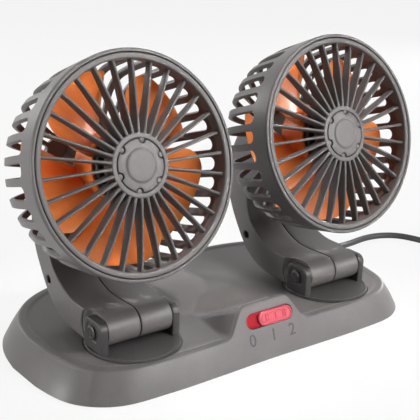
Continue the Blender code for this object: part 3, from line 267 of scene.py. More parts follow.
def piece(name, draft, surface, body, slot, *replaced, carry=None, edge=0.0, sharp=32.0, cutter=None):
    """A finished piece from a draft: carried to its place, cut, with its edges rounded, and dressed."""
    item = add_object(name, draft.mesh(name, carry))
    if cutter is not None:
        step = item.modifiers.new("cut", "BOOLEAN")
        step.operation = "DIFFERENCE"
        step.solver = "EXACT"
        step.object = cutter
    if edge:
        bevel(item, edge)
    settle(item, sharp)
    if cutter is not None:
        bpy.data.objects.remove(cutter, do_unlink=True)
    return dress(item, surface, body, slot, *replaced)


# Camera, fitted to the photograph: azimuth, elevation and roll in degrees, lens in mm, place in metres

CAMERA_ANGLES = (-37.45, 18.7, 2.45)
CAMERA_LENS = 76.22
CAMERA_PLACE = (-0.26256, -0.34483, 0.20677)


def look_through_camera():
    """The camera's axes are right and up, turned by the roll, and back = (sin a cos e, -cos a cos e, sin e)
    for the azimuth a and the elevation e."""
    azimuth, elevation, roll = (radians(angle) for angle in CAMERA_ANGLES)
    back = Vector((sin(azimuth) * cos(elevation), -cos(azimuth) * cos(elevation), sin(elevation)))
    right = Vector((cos(azimuth), sin(azimuth), 0.0))
    up = back.cross(right)
    axes = Matrix((right * cos(roll) + up * sin(roll), up * cos(roll) - right * sin(roll), back)).transposed()
    data = bpy.data.cameras.new("camera")
    data.lens = CAMERA_LENS
    data.sensor_width = 36.0
    data.clip_start = 0.01
    item = add_object("camera", data)
    item.matrix_world = Matrix.Translation(CAMERA_PLACE) @ axes.to_4x4()
    bpy.context.scene.camera = item


look_through_camera()


# Cord: from the bend protector to the coil, round the coil, and on to the plug

LEAD_RADIUS = 2.0
LEAD_STEP = 6.0
LEAD_GAP = 0.3
# Bend protector: where it leaves the housing, its way, and how far it sticks out
GLAND = (101.5, 22.5, 6.0)
GLAND_TURN = radians(17.0)
GLAND_OUT = 15.0
LEAD_ROUTE = [(129.4, 30.9, 3.7), (144.1, 34.0, 2.15), (160.5, 35.9, 2.15),
              (173.1, 34.2, 2.15), (183.6, 27.6, 2.2), (189.4, 16.0, 2.3), (190.9, 3.0, 2.7)]
# Coil: centre, radius where it turns back, distance between turns, height of the lower layer, angle at its
# start, number of turns and points on each, and the share of a turn over which it turns back
COIL_CENTRE = (223.0, -13.0)
COIL_INNER = 15.2
COIL_PITCH = 4.55
COIL_REST = 2.95
COIL_START = radians(180.0)
COIL_TURNS = 7.35
COIL_STEPS = 24
COIL_TURN_BACK = 0.12
# From the coil to the plug, and the plug's rear end with its way
TAIL_ROUTE = [(253.5, -31.9, 6.2), (262.0, -23.0, 4.6), (266.6, -13.8, 4.3)]
PLUG_POINT = (268.2, -4.5, 4.3)
PLUG_WAY = np.array([0.0, 1.0, 0.0])
GLAND_WAY = np.array([cos(GLAND_TURN), sin(GLAND_TURN), 0.0])


def coil_points():
    """Two layers of a flat spiral: the radius grows by a pitch for each turn away from the
    middle of the coil's length, and the height climbs one pitch there."""
    t = np.linspace(0.0, COIL_TURNS, round(COIL_TURNS * COIL_STEPS) + 1)
    middle = COIL_TURNS / 2
    radius = COIL_INNER + COIL_PITCH * np.hypot(t - middle, COIL_TURN_BACK)
    height = COIL_REST + COIL_PITCH * smooth_step((t - middle) * 2 + 0.5)
    angle = COIL_START + tau * t
    return np.stack([COIL_CENTRE[0] + radius * np.cos(angle),
                     COIL_CENTRE[1] + radius * np.sin(angle), height], -1)


def unit(vector):
    """A vector's direction, with length 1."""
    return vector / np.linalg.norm(vector)


def lead_between(start, start_way, middle_points, end, end_way):
    """A smooth way that leaves and arrives straight for a diameter, read at even steps."""
    straight = 2 * LEAD_RADIUS
    knots = [start + start_way * straight, *map(np.array, middle_points), end - end_way * straight]
    path = smooth_curve(knots, 10)
    total = arc_lengths(path)[-1]
    return np.vstack([start, read_path(path, np.linspace(0.0, total, round(total / LEAD_STEP) + 1)), end])


def make_cord(surface):
    """The lead as one curve: from the bend protector's tip to the coil, its turns, and on to the plug."""
    turns = coil_points()
    way_in, way_out = unit(turns[1] - turns[0]), unit(turns[-1] - turns[-2])
    start = np.array(GLAND) + GLAND_WAY * (GLAND_OUT + LEAD_GAP)
    end = np.array(PLUG_POINT) - PLUG_WAY * LEAD_GAP
    lead = lead_between(start, GLAND_WAY, LEAD_ROUTE, turns[0] - way_in * LEAD_GAP, way_in)
    tail = lead_between(turns[-1] + way_out * LEAD_GAP, way_out, TAIL_ROUTE, end, PLUG_WAY)
    route = np.vstack([lead[:-1], turns, tail[1:]]) * MM
    curve = bpy.data.curves.new("lead", "CURVE")
    curve.dimensions = "3D"
    curve.bevel_depth = LEAD_RADIUS * MM
    curve.bevel_resolution = 4
    curve.use_fill_caps = True
    curve.resolution_u = 4
    spline = curve.splines.new("BEZIER")
    spline.bezier_points.add(len(route) - 1)
    spline.bezier_points.foreach_set("co", route.ravel())
    for point in spline.bezier_points:
        point.handle_left_type = point.handle_right_type = "AUTO"
    spline.use_smooth = True
    curve.materials.append(surface)
    item = add_object("lead", curve)
    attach(item, "base")
    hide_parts("cord_lead", "cord_coil", "cord_tail")


# Materials

def linear(code):
    """Linear colour of an sRGB hex value."""
    parts = np.array([int(code[k:k + 2], 16) for k in (1, 3, 5)]) / 255
    return (*np.where(parts <= 0.04045, parts / 12.92, ((parts + 0.055) / 1.055) ** 2.4).tolist(), 1.0)


def node(tree, kind, links=None, **settings):
    """Adds a node: settings are its own values, links its sockets' values or the outputs to join. Sockets
    6 and 7 of a Mix node are its two colours, and output 2 is the mixed one."""
    made = tree.nodes.new(kind)
    for key, value in settings.items():
        setattr(made, key, value)
    for key, value in (links or {}).items():
        if isinstance(value, bpy.types.NodeSocket):
            tree.links.new(value, made.inputs[key])
        else:
            made.inputs[key].default_value = value
    return made


def new_surface(name, roughness, metallic=0.0, ior=1.5, specular=0.5):
    """A new material with its shader's plain values: the material, its node tree and the shader."""
    surface = bpy.data.materials.new(name)
    surface.use_nodes = True
    tree = surface.node_tree
    shader = tree.nodes["Principled BSDF"]
    shader.inputs["Roughness"].default_value = roughness
    shader.inputs["Metallic"].default_value = metallic
    shader.inputs["IOR"].default_value = ior
    shader.inputs["Specular IOR Level"].default_value = specular
    return surface, tree, shader


def moulded(name, colour, shade, roughness, grain=0.45, relief=0.02, cloud=18.0, ior=1.53, spread=0.06,
            specular=0.3):
    """Moulded plastic. The mould's spark-eroded grain is drawn as bumps, grain across and relief
    high in millimetres. Flow of the melt and handling shift colour and gloss over a cloud's size."""
    surface, tree, shader = new_surface(name, roughness, ior=ior, specular=specular)
    place = node(tree, "ShaderNodeTexCoord").outputs["Object"]
    drift = node(tree, "ShaderNodeTexNoise", {"Vector": place, "Scale": 1 / (cloud * MM), "Detail": 4.0})
    speck = node(tree, "ShaderNodeTexNoise", {"Vector": place, "Scale": 1 / (grain * MM), "Detail": 3.0,
                                              "Roughness": 0.6})
    blend = node(tree, "ShaderNodeMath", {0: drift.outputs["Fac"], 1: speck.outputs["Fac"]},
                 operation="MULTIPLY")
    share = node(tree, "ShaderNodeMapRange", {"Value": blend.outputs[0], "From Min": 0.12, "From Max": 0.40})
    colours = node(tree, "ShaderNodeMix", {"Factor": share.outputs[0], 6: linear(shade), 7: linear(colour)},
                   data_type="RGBA")
    tree.links.new(colours.outputs[2], shader.inputs["Base Color"])
    gloss = node(tree, "ShaderNodeMapRange", {"Value": drift.outputs["Fac"], "From Min": 0.3, "From Max": 0.7,
                                              "To Min": roughness - spread, "To Max": roughness + spread})
    tree.links.new(gloss.outputs[0], shader.inputs["Roughness"])
    bump = node(tree, "ShaderNodeBump", {"Height": speck.outputs["Fac"], "Distance": relief * MM,
                                         "Strength": 0.6})
    tree.links.new(bump.outputs["Normal"], shader.inputs["Normal"])
    return surface


def plated(name, colour, shade, roughness, scratch=0.25):
    """Plated steel: pale grey with faint crystal blooms, and fine marks of the tool across Z, scratch apart
    in millimetres, which are drawn wider than real ones so that they show."""
    surface, tree, shader = new_surface(name, roughness, metallic=1.0)
    place = node(tree, "ShaderNodeTexCoord").outputs["Object"]
    bloom = node(tree, "ShaderNodeTexVoronoi", {"Vector": place, "Scale": 1 / (1.6 * MM)})
    colours = node(tree, "ShaderNodeMix", {"Factor": bloom.outputs["Distance"], 6: linear(colour),
                                           7: linear(shade)}, data_type="RGBA")
    tree.links.new(colours.outputs[2], shader.inputs["Base Color"])
    marks = node(tree, "ShaderNodeMapping", {"Vector": place, "Scale": (1.0, 1.0, 8.0)})
    lines = node(tree, "ShaderNodeTexNoise", {"Vector": marks.outputs[0], "Scale": 1 / (scratch * MM),
                                              "Detail": 2.0})
    gloss = node(tree, "ShaderNodeMapRange", {"Value": lines.outputs["Fac"], "To Min": roughness - 0.08,
                                              "To Max": roughness + 0.12})
    tree.links.new(gloss.outputs[0], shader.inputs["Roughness"])
    bump = node(tree, "ShaderNodeBump", {"Height": lines.outputs["Fac"], "Distance": 0.01 * MM,
                                         "Strength": 0.4})
    tree.links.new(bump.outputs["Normal"], shader.inputs["Normal"])
    return surface


def laminate(name):
    """Circuit board: green solder mask over glass weave, whose 0.5 mm threads and 6 mm runs of track are
    seen faintly through it."""
    surface, tree, shader = new_surface(name, 0.35, ior=1.55)
    place = node(tree, "ShaderNodeTexCoord").outputs["Object"]
    weave = node(tree, "ShaderNodeTexChecker", {
        "Vector": place, "Scale": 1 / (0.5 * MM), "Color1": linear("#0f5a2c"), "Color2": linear("#135f31")})
    tracks = node(tree, "ShaderNodeTexBrick", {
        "Vector": place, "Scale": 1 / (6.0 * MM), "Color1": linear("#0f5a2c"), "Color2": linear("#0d4f27"),
        "Mortar": linear("#2f8a55"), "Mortar Size": 0.04})
    colours = node(tree, "ShaderNodeMix", {"Factor": 0.5, 6: weave.outputs["Color"],
                                           7: tracks.outputs["Color"]}, data_type="RGBA")
    tree.links.new(colours.outputs[2], shader.inputs["Base Color"])
    return surface


# ABS in warm graphite, satin from a spark-eroded mould: soft wide highlights
graphite = moulded("graphite ABS satin moulded", "#6a6665", "#5e5b5a", 0.42)
# The same ABS in near black for the turntables and pins, with tighter highlights: the near black is partly a
# darker tone of their own and partly painted shade for the heads' shadow on the discs
dark_graphite_with_painted_shade = moulded("charcoal ABS satin moulded", "#444242", "#393737", 0.36)
# Black glass-filled nylon of the rotor cup: dark with a sharp sheen
nylon = moulded("black nylon moulded", "#171617", "#100f10", 0.38, grain=0.3)
# Orange polypropylene of the blades: waxy, with a soft shine and a finer, flatter grain
orange = moulded("orange polypropylene moulded", "#ff9148", "#fb833b", 0.36, grain=0.6, relief=0.008,
                 ior=1.49)
# The same ABS in red for the slot's floor: it lies in shade, with hardly any highlight
red = moulded("red ABS switch base", "#a60d21", "#940c1e", 0.46, relief=0.006, specular=0.1)
# Rose ABS of the knob from a smoother mould: an even colour with a soft shine on its ribs
rose = moulded("rose ABS switch knob", "#c85562", "#bd4b58", 0.40, relief=0.006, specular=0.2)
# Moulded rubber of the feet, the bend protector and the tie: dull black with a coarser relief
rubber = moulded("black rubber moulded", "#1c1b1b", "#141313", 0.68, grain=0.35, relief=0.03)
# Extruded soft PVC of the lead, and the plug's grip in the same: half matt and even along its length
jacket = moulded("grey PVC lead jacket extruded", "#4a4849", "#3f3d3e", 0.46, grain=0.5, relief=0.01)
# Dark grey ABS of the raised marks: matt, so that they read against the housing
ink = moulded("dark grey ABS raised marks", "#464547", "#3b3a3c", 0.5)
# Zinc plate on the turned steel of screws, shafts and motors: a pale, slightly milky metal
zinc = plated("zinc plated steel turned", "#bfbebb", "#aeada9", 0.32)
# Nickel plate on the pressed steel of the plug's sleeve: brighter, with finer marks
tin = plated("nickel plated steel pressed", "#c6c4c0", "#bbb9b5", 0.24, scratch=0.1)
# Glass-fibre laminate of the circuit board: green and smooth
board = laminate("green circuit board laminate")
# Light passes a few millimetres into that polypropylene, furthest in red, which warms its shaded sides
for socket, value in (("Weight", 0.4), ("Radius", (0.004, 0.0018, 0.0008)), ("Scale", 1.0)):
    orange.node_tree.nodes["Principled BSDF"].inputs[f"Subsurface {socket}"].default_value = value


# Bend protector and plug grip

# Bend protector: depth in the housing, radii at foot and tip, flange (radius, thickness) and ribs
GLAND_IN = 5.5
GLAND_RADII = (2.95, 2.35)
GLAND_FLANGE = (4.6, 1.6)
GLAND_RIBS = 7
RIB_HEIGHT = 0.26
# Grip: length, half width and half height, how these change along it (share of the way, share of each),
# and the power that squares its sections
PLUG_LENGTH = 27.0
PLUG_HALF = (7.65, 3.95)
PLUG_SHARES = [(0.0, 0.42, 0.70), (0.22, 0.62, 0.86), (0.40, 1.0, 1.0), (1.0, 0.96, 0.96)]
PLUG_SQUARENESS = 5.0


def about_gland(points):
    """From the bend protector's own axes (across, up, out) to the frame."""
    across = (-sin(GLAND_TURN), cos(GLAND_TURN), 0.0)
    return np.array(GLAND) + points @ np.array([across, (0.0, 0.0, 1.0), GLAND_WAY])


def gland_draft():
    """Tapered sleeve with ribs: its radius is a straight taper, less a groove wherever cos(2 pi ribs s) is
    low, which fades in from the flange, and less a quarter round at the tip, s = 1."""
    s = np.linspace(0.0, 1.0, 127)
    taper = GLAND_RADII[0] + (GLAND_RADII[1] - GLAND_RADII[0]) * s
    wave = np.clip(2.2 * np.cos(tau * GLAND_RIBS * (s + 0.04)), -1.0, 1.0)
    tip = 0.3 * (1 - np.sqrt(1 - np.clip((s - 0.98) / 0.02, 0.0, 1.0) ** 2))
    ribs = RIB_HEIGHT * 0.5 * (wave - 1.0) * smooth_step(s * 12)
    sleeve = np.stack([taper + ribs - tip, s * GLAND_OUT], -1)
    flange, thickness = GLAND_FLANGE
    inside = [(0.0, -GLAND_IN - thickness), (flange, -GLAND_IN - thickness), (flange, -GLAND_IN),
              (GLAND_RADII[0], -GLAND_IN)]
    draft = Draft()
    draft.lathe(np.vstack([inside, sleeve, [(0.0, GLAND_OUT)]]), 48, closed=False)
    return draft


def about_plug(points):
    """From the plug's own axes (across, up, ahead) to the frame."""
    return np.array(PLUG_POINT) + points @ np.array([[-1.0, 0.0, 0.0], [0.0, 0.0, 1.0], PLUG_WAY])


def grip_draft():
    """Moulded grip: sections |x/a|^n + |z/b|^n = 1 whose halves follow the plug's shares, with rounded
    ends that close in a point and four shallow finger grooves, -0.28 sin^2 of the way along them."""
    arc = np.linspace(0.0, pi / 2, 6)
    along = np.concatenate([np.zeros(1), 0.03 * (1 - np.cos(arc)), np.linspace(0.04, 0.965, 75),
                            1 - 0.03 * (1 - np.sin(arc)), np.ones(1)])
    point = (along == 0.0) | (along == 1.0)
    shares = smooth_curve(np.array(PLUG_SHARES), 12)
    ends = 1.1 * (1 - np.sqrt(1 - np.clip(np.abs(along - 0.5) / 0.03 - 0.47 / 0.03, 0.0, 1.0) ** 2 * 0.999))
    groove = np.clip((along - 0.52) / 0.32, 0.0, 1.0)
    dent = 0.28 * np.sin(4 * pi * groove) ** 2
    a = np.arange(72) * tau / 72
    power = 2 / PLUG_SQUARENESS
    half = [np.interp(along, shares[:, 0], shares[:, k + 1]) * PLUG_HALF[k] - ends - dent for k in (0, 1)]
    half = [np.where(point, 0.0, side) for side in half]
    wave = [np.sign(f) * np.abs(f) ** power for f in (np.cos(a), np.sin(a))]
    grid = [np.outer(half[k], wave[k]) for k in (0, 1)] + [np.outer(along * PLUG_LENGTH, np.ones(len(a)))]
    draft = Draft()
    draft.sheet(np.stack(grid, -1))
    return draft


piece("bend_protector", gland_draft(), rubber, "base", "rubber", "cord_gland", carry=about_gland, sharp=50)
piece("plug_grip_dressed", grip_draft(), jacket, "base", "cord_jacket", "plug_grip",
      carry=about_plug, sharp=50)
make_cord(jacket)


# Base

def rim_halves():
    """Front and rear half of the rim seen from above, each as (x, y) points from left to right."""
    half = np.array(OUTLINE) * BASE_HALF
    loop = smooth_curve(np.vstack([half, half[-2:0:-1] * (-1, 1)]), 60, closed=True)
    front, rear = loop[loop[:, 1] <= 0], loop[loop[:, 1] >= 0]
    return front[np.argsort(front[:, 0])], rear[np.argsort(rear[:, 0])]


def skirt_out(height):
    """Share of the skirt's spread at a height: a smooth curve through the skirt's section."""
    out, up = smooth_curve(SKIRT, 12).T
    return np.interp((np.asarray(height) - SKIRT_BOTTOM) / (RIM_TOP - SKIRT_BOTTOM), up, out)


def crest_height(x):
    """Height of the front edge: the rim, a hollow curve up the tab's flank, and its round top corner."""
    slope = (TAB_TOP[0] - TAB_FOOT[0]) / (TAB_TOP[1] - TAB_FOOT[1])
    foot = TAB_FOOT[0] + slope * (RIM_TOP - TAB_FOOT[1])
    edge = rounded([(0.0, TAB_TOP[1]), TAB_TOP, (foot, RIM_TOP), (60.0, RIM_TOP)], TAB_CORNER, 10)
    return np.interp(np.abs(x), edge[:, 0], edge[:, 1])


def face_y(height):
    """The tab's front face leans back from the rim's height."""
    return FACE_AT_RIM + FACE_LEAN * (height - RIM_TOP)


def face_pull(x, height):
    """Share by which the front is drawn to the tab's plane: all of it below the tab, none at the foot."""
    return (smooth_step((PULL_START[0] - np.abs(x)) / PULL_LENGTH[0])
            * smooth_step((height - PULL_START[1]) / PULL_LENGTH[1]))


def front_y(x, height):
    """y of the base's front at a place below or on the tab: the skirt, drawn to the tab's plane."""
    front, _ = rim_halves()
    out = skirt_out(np.minimum(height, RIM_TOP))
    wider, deeper = (1 + out * SKIRT_OUT[k] / BASE_HALF[k] for k in (0, 1))
    skirt = np.interp(x / wider, *front.T) * deeper
    pull = face_pull(x, height)
    return skirt * (1 - pull) + face_y(height) * pull


def saddle_height(x, y):
    """Hump between the turntables: cos^2 across, and from front to rear its section, whose ridge bows
    back towards the sides."""
    side = np.clip(x / SADDLE_HALF, -1.0, 1.0)
    front, rear = -BASE_HALF[1] + RIM_WIDTH, BASE_HALF[1] - RIM_WIDTH - 2.0
    ridge = RIDGE_Y + RIDGE_BOW * side ** 2
    share = np.where(y <= ridge, (y - front) / (ridge - front), 1 + (y - ridge) / (rear - ridge))
    section = smooth_curve(SADDLE, 8)
    return SADDLE_HEIGHT * np.cos(side * pi / 2) ** 2 * np.interp(share, section[:, 0], section[:, 1])


def tab_height(x, y):
    """The tab behind its front edge: the edge's outline moves back, widens towards its foot and sinks.
    The place on the edge that a point comes from is found in four rounds of putting it back in."""
    reach = np.abs(x)
    p = reach.copy()
    for _ in range(4):
        crest = crest_height(p)
        back = np.clip((y - face_y(crest)) / TAB_DEPTH, 0.0, 1.35)
        p = np.maximum((reach - TAB_WIDEN * TAB_FOOT[0] * back) / (1 - TAB_WIDEN * back), 0.0)
    crest = crest_height(p)
    sunk = TAB_FOOT[1] + (crest - TAB_FOOT[1]) * TAB_BACK
    return crest * (1 - back) + sunk * back


def floor_rows():
    """Shares from front to rear at which the floor is read: dense over the tab, wider behind it."""
    return np.concatenate([np.linspace(0.0, 0.26, 38)[:-1], np.linspace(0.26, 1.0, 46)])


def blend_heights(low, points, at_front):
    """Upper envelope of a low surface and the tab, rounded where they meet:
    half of a + b + sqrt((a-b)^2 + k^2)."""
    tab = np.where(at_front, tab_height(points[..., 0], points[..., 1]), 0.0)
    gap = low - tab
    round_off = 0.9 * smooth_step((tab - RIM_TOP + 1.5) / 1.5)
    return 0.5 * (low + tab + np.sqrt(gap ** 2 + round_off ** 2))


def base_columns(wide):
    """Places x from left to right at which the base is read: close at both ends, half a millimetre apart
    over the tab, and no two nearer than 0.2 mm."""
    x = np.concatenate([wide * np.sin(np.linspace(-pi / 2, pi / 2, 181)), np.linspace(-33.0, 33.0, 133)])
    x = np.unique(np.round(x, 4))
    x = x[np.concatenate([[True], np.diff(x) > 0.2])]
    x[0], x[-1] = -wide, wide
    return x


def base_draft():
    """Columns run from left to right. The rows climb the skirt to the edge, turn over it, cross the
    rim and the floor from front to rear, and inside they come back along the wall and the ceiling."""
    front, rear = rim_halves()
    x = base_columns(front[-1, 0])
    y_front, y_rear = np.interp(x, *front.T), np.interp(x, *rear.T)
    y_front[[0, -1]] = y_rear[[0, -1]] = 0.0
    loop_x = np.concatenate([x, x[-2:0:-1]])
    loop_y = np.concatenate([y_front, y_rear[-2:0:-1]])
    at_front = np.concatenate([np.ones(len(x), bool), np.zeros(len(x) - 2, bool)])
    crest = np.where(at_front, crest_height(loop_x), RIM_TOP)

    def ring(height, inset=0.0):
        """The outline at a height, moved inwards."""
        height = np.broadcast_to(height, loop_x.shape)
        out = skirt_out(np.minimum(height, RIM_TOP))
        px = loop_x * (1 + (out * SKIRT_OUT[0] - inset) / BASE_HALF[0])
        py = loop_y * (1 + (out * SKIRT_OUT[1] - inset) / BASE_HALF[1])
        pull = at_front * face_pull(loop_x, height)
        high = at_front * np.maximum(height - RIM_TOP, 0.0) * FACE_LEAN
        py = (py + high) * (1 - pull) + (face_y(height) + inset) * pull
        return np.stack([px, py, height], -1)

    rows = [ring(SKIRT_BOTTOM + (crest - SKIRT_BOTTOM) * share) for share in np.linspace(0.0, 1.0, 19)[:-1]]
    side, top = ring(crest - EDGE_ROUND), ring(crest, EDGE_ROUND)
    rows = [np.where(row[:, 2:] > side[:, 2:], side, row) for row in rows]
    for turn in np.linspace(0.0, pi / 2, 6):
        bend = side + (top - side) * (1 - cos(turn))
        bend[:, 2] = crest - EDGE_ROUND * (1 - sin(turn))
        rows.append(bend)
    for inset, lip in ((1.5, 0.05), (1.9, 0.45), (RIM_FLAT, 1.0)):
        flat = ring(crest, inset)
        flat[:, 2] = (crest - 0.05) * (1 - lip) + blend_heights(RIM_TOP, flat, at_front) * lip
        rows.append(flat)
    for inset, drop in ((3.0, 0.25), (RIM_WIDTH, 1.0)):
        slope = ring(crest, inset)
        low = RIM_TOP + (FLOOR_TOP + saddle_height(slope[:, 0], slope[:, 1]) - RIM_TOP) * drop
        slope[:, 2] = blend_heights(low, slope, at_front)
        rows.append(slope)
    inside = [ring(height, WALL) for height in (CEILING, 9.0, 5.0, SKIRT_BOTTOM)]
    draft = Draft()
    draft.sheet(np.array(inside + rows))
    count = len(x)
    even_rows = np.linspace(0.0, 1.0, 5)
    for last, share, is_floor in ((rows[-1], floor_rows(), True), (inside[0], even_rows, False)):
        near = last[:count]
        far = np.vstack([last[:1], last[count:][::-1], last[count - 1:count]])
        grid = near + (far - near) * share[:, None, None]
        if is_floor:
            field = blend_heights(FLOOR_TOP + saddle_height(grid[..., 0], grid[..., 1]), grid, True)
            fade = smooth_step(np.minimum(share, 1 - share) / 0.02)[:, None]
            grid[..., 2] = grid[..., 2] * (1 - fade) + field * fade
        draft.sheet(grid, around=False)
    return draft


FACE_UP = unit(np.array([0.0, FACE_LEAN, 1.0]))
FACE_IN = unit(np.array([0.0, 1.0, -FACE_LEAN]))


def on_face(points):
    """From the switch's own axes (along, up the face, into the face) to the frame."""
    origin = np.array([SLOT_AT[0], face_y(SLOT_AT[1]), SLOT_AT[1]])
    return origin + points @ np.array([[1.0, 0.0, 0.0], FACE_UP, FACE_IN])


def bar_outline(length, height, steps=16):
    """Outline of a bar with round ends: two half circles joined by straight sides."""
    radius = height / 2
    a = np.linspace(-pi / 2, pi / 2, steps + 1)
    half = np.stack([length / 2 - radius + radius * np.cos(a), radius * np.sin(a)], -1)
    return np.vstack([half, -half])


def bar_rings(length, height, levels, steps=16):
    """Rings of a round-ended bar: each level is (inset, depth), and the bar shrinks by the inset."""
    rings = []
    for inset, depth in levels:
        outline = bar_outline(length - 2 * inset, height - 2 * inset, steps)
        rings.append(np.hstack([outline, np.full((len(outline), 1), depth)]))
    return np.array(rings)


def base_cutter():
    """Everything that is cut out of the base: two wells with the bores below them, and the switch slot."""
    draft = Draft()
    above, low, bottom, bore = 20.0, 12.2, 5.0, 9.3
    well = [(0.0, above), (WELL_RADIUS, above), (WELL_RADIUS, FLOOR_TOP - 0.25), (WELL_RADIUS, low),
            (bore, low), (bore, bottom), (0.0, bottom)]
    for side in HANDS.values():
        draft.lathe(well, 160, closed=False, at=(side * HEAD_PITCH / 2, TURN_Y, 0.0))
    draft.sheet(on_face(bar_rings(*SLOT_SIZE, [(0.0, -2.0), (0.0, SLOT_DEPTH)], 24)), caps=(True, True))
    return add_object("base_cutter", draft.mesh("base_cutter"))


piece("base_housing", base_draft(), graphite, "base", "graphite_plastic", "base_shell", "centre_cover",
      cutter=base_cutter(), sharp=38)


def marks():
    """Switch marks below the slot: figures laid on the curved front. A point v up and w out of a figure's
    middle goes to z = z0 + v cos(lean) and y = front + sunk - w, so the figures stand 0.16 mm proud."""
    for figure, x in MARKS.items():
        data = bpy.data.curves.new(f"mark_{figure}", "FONT")
        data.body = figure
        data.size = MARK_SIZE
        data.align_x = "CENTER"
        data.align_y = "CENTER"
        data.extrude = 0.25
        data.bevel_depth = 0.03
        words = add_object("words", data)
        bpy.context.view_layer.update()
        mesh = bpy.data.meshes.new_from_object(words.evaluated_get(bpy.context.evaluated_depsgraph_get()))
        bpy.data.objects.remove(words, do_unlink=True)
        merged = bmesh.new()
        merged.from_mesh(mesh)
        bmesh.ops.remove_doubles(merged, verts=merged.verts, dist=0.004)
        merged.to_mesh(mesh)
        merged.free()
        flat = np.empty(len(mesh.vertices) * 3)
        mesh.vertices.foreach_get("co", flat)
        along, up, out = flat.reshape(-1, 3).T
        along, up = x + along, MARK_HEIGHT + up * cos(FACE_LEAN)
        placed = np.stack([along, front_y(along, up) - out + MARK_SUNK, up], -1) * MM
        mesh.vertices.foreach_set("co", placed.ravel())
        mesh.shade_smooth()
        mesh.set_sharp_from_angle(angle=radians(30))
        dress(add_object(f"mark_{figure}", mesh), ink, "base", "graphite_plastic")


marks()


# Slide switch

def switch_pieces():
    """The slot's floor with a sunk middle, and the knob: a bar with rounded shoulders, a sunk top and five
    ribs across it. Levels are (inset, depth), from the back to the front."""
    floor = Draft()
    floor.sheet(bar_rings(SLOT_SIZE[0] - 0.6, SLOT_SIZE[1] - 0.6, [
        (0.3, 8.7), (0.0, 8.4), (0.0, 1.25), (0.1, 1.05), (0.5, 1.0), (1.0, 1.0), (1.2, 1.15), (1.8, 1.15)]),
        caps=(True, True))
    piece("switch_floor", floor, red, "base", "red_plastic", "switch_body", carry=on_face)
    levels = [(0.2, 0.85), (0.0, 0.7), (0.0, 0.15)]
    levels += [(0.5 * (1 - cos(a)), 0.15 - 0.5 * sin(a)) for a in np.linspace(0.3, pi / 2, 5)]
    levels += [(0.95, -0.36), (1.1, -0.02), (1.45, 0.0), (1.6, -0.3), (2.2, -0.32)]
    knob = Draft()
    rings = bar_rings(KNOB_LENGTH, SLOT_SIZE[1] - 0.9, levels)
    knob.sheet(rings + (KNOB_SHIFT, -0.15, 0.0), caps=(True, True))
    rib_length, rib_width, reach = 3.4, 0.7, 6.2
    for share in (-1.0, -0.76, 0.0, 0.76, 1.0):
        rib = bar_rings(rib_length, rib_width, [(0.0, 0.0), (0.0, -0.45), (0.08, -0.6), (0.2, -0.68)], 6)
        rib = np.stack([rib[..., 1] + KNOB_SHIFT + share * reach, rib[..., 0], rib[..., 2]], -1)
        knob.sheet(rib, caps=(True, True))
    piece("switch_slider", knob, rose, "switch", "knob_plastic", "switch_knob", carry=on_face)


switch_pieces()


# Turntables, ears and pins

def about_turn(side):
    """From a turntable's own axes (across, back, up from the disc's top) to the frame."""
    return lambda points: points + (side * HEAD_PITCH / 2, TURN_Y, DISC_TOP)


def about_hinge(side):
    """From a hinge's own axes (across, back, up) to the frame."""
    return lambda points: points + (side * HEAD_PITCH / 2, TURN_Y + HINGE[0], HINGE[1])


def ear_outline(inset):
    """Outline of an ear as (back, up) points from the hinge: flat front and back, a low top with round
    corners. Each corner is a quarter circle, and the sides come down to the disc."""
    half, top, corner = EAR_HALF - inset, EAR_TOP - inset, EAR_CORNER - inset
    a = np.linspace(0.0, pi / 2, 9)
    bend = corner * np.stack([np.cos(a), np.sin(a)], -1) + (half - corner, top - corner)
    left = bend[::-1] * (-1, 1)
    down = np.linspace(0.0, 1.0, 7)[:, None]
    ends = np.array([[half, -EAR_FOOT], [-half, -EAR_FOOT]])
    return np.vstack([ends[0] + (bend[0] - ends[0]) * down[:-1], bend, left,
                      left[-1] + (ends[1] - left[-1]) * down[1:]])


def turntable_draft():
    """A disc with a raised rounded lip and a spigot, and two ears with a round groove about the pin in
    their outer faces. An ear's rings are (inset, x) from its inner face out, then (radius, x)."""
    draft = Draft()
    lip = rounded([(0.0, 0.0), (20.6, 0.0), (21.3, 0.05), (21.75, 0.38), (DISC_RADIUS, 0.38),
                   (DISC_RADIUS, -2.5), (9.0, -2.5), (9.0, -5.3), (0.0, -5.3)], 0.28, 4)
    draft.lathe(lip, 144, closed=False)
    for sign in (-1, 1):
        rings = []
        for inset, x in ((0.5, 17.4), (0.13, 17.55), (0.0, 17.9), (0.0, 20.7), (0.13, 21.2), (0.5, 21.4),
                         (1.3, 21.4)):
            outline = ear_outline(inset)
            rings.append(np.insert(outline, 0, sign * x, axis=1))
        angle = np.arctan2(outline[:, 1], outline[:, 0])
        for radius, x in ((5.4, 21.4), (5.15, 21.1), (4.1, 21.1), (3.9, 21.4), (3.5, 21.4)):
            rings.append(np.stack([np.full(len(angle), sign * x), radius * np.cos(angle),
                                   radius * np.sin(angle)], -1))
        ring = np.array(rings)
        ring[..., 1] += HINGE[0]
        ring[..., 2] += HINGE[1] - DISC_TOP
        draft.sheet(ring, caps=(True, True))
    return draft


def turned_draft(profile):
    """A profile of (radius, across) points turned about the hinge: y is r cos a, and z is r sin a."""
    a = np.arange(48) * tau / 48
    r, x = np.array(profile).T
    draft = Draft()
    draft.sheet(np.stack([np.outer(x, np.ones(48)), np.outer(r, np.cos(a)), np.outer(r, np.sin(a))], -1))
    return draft


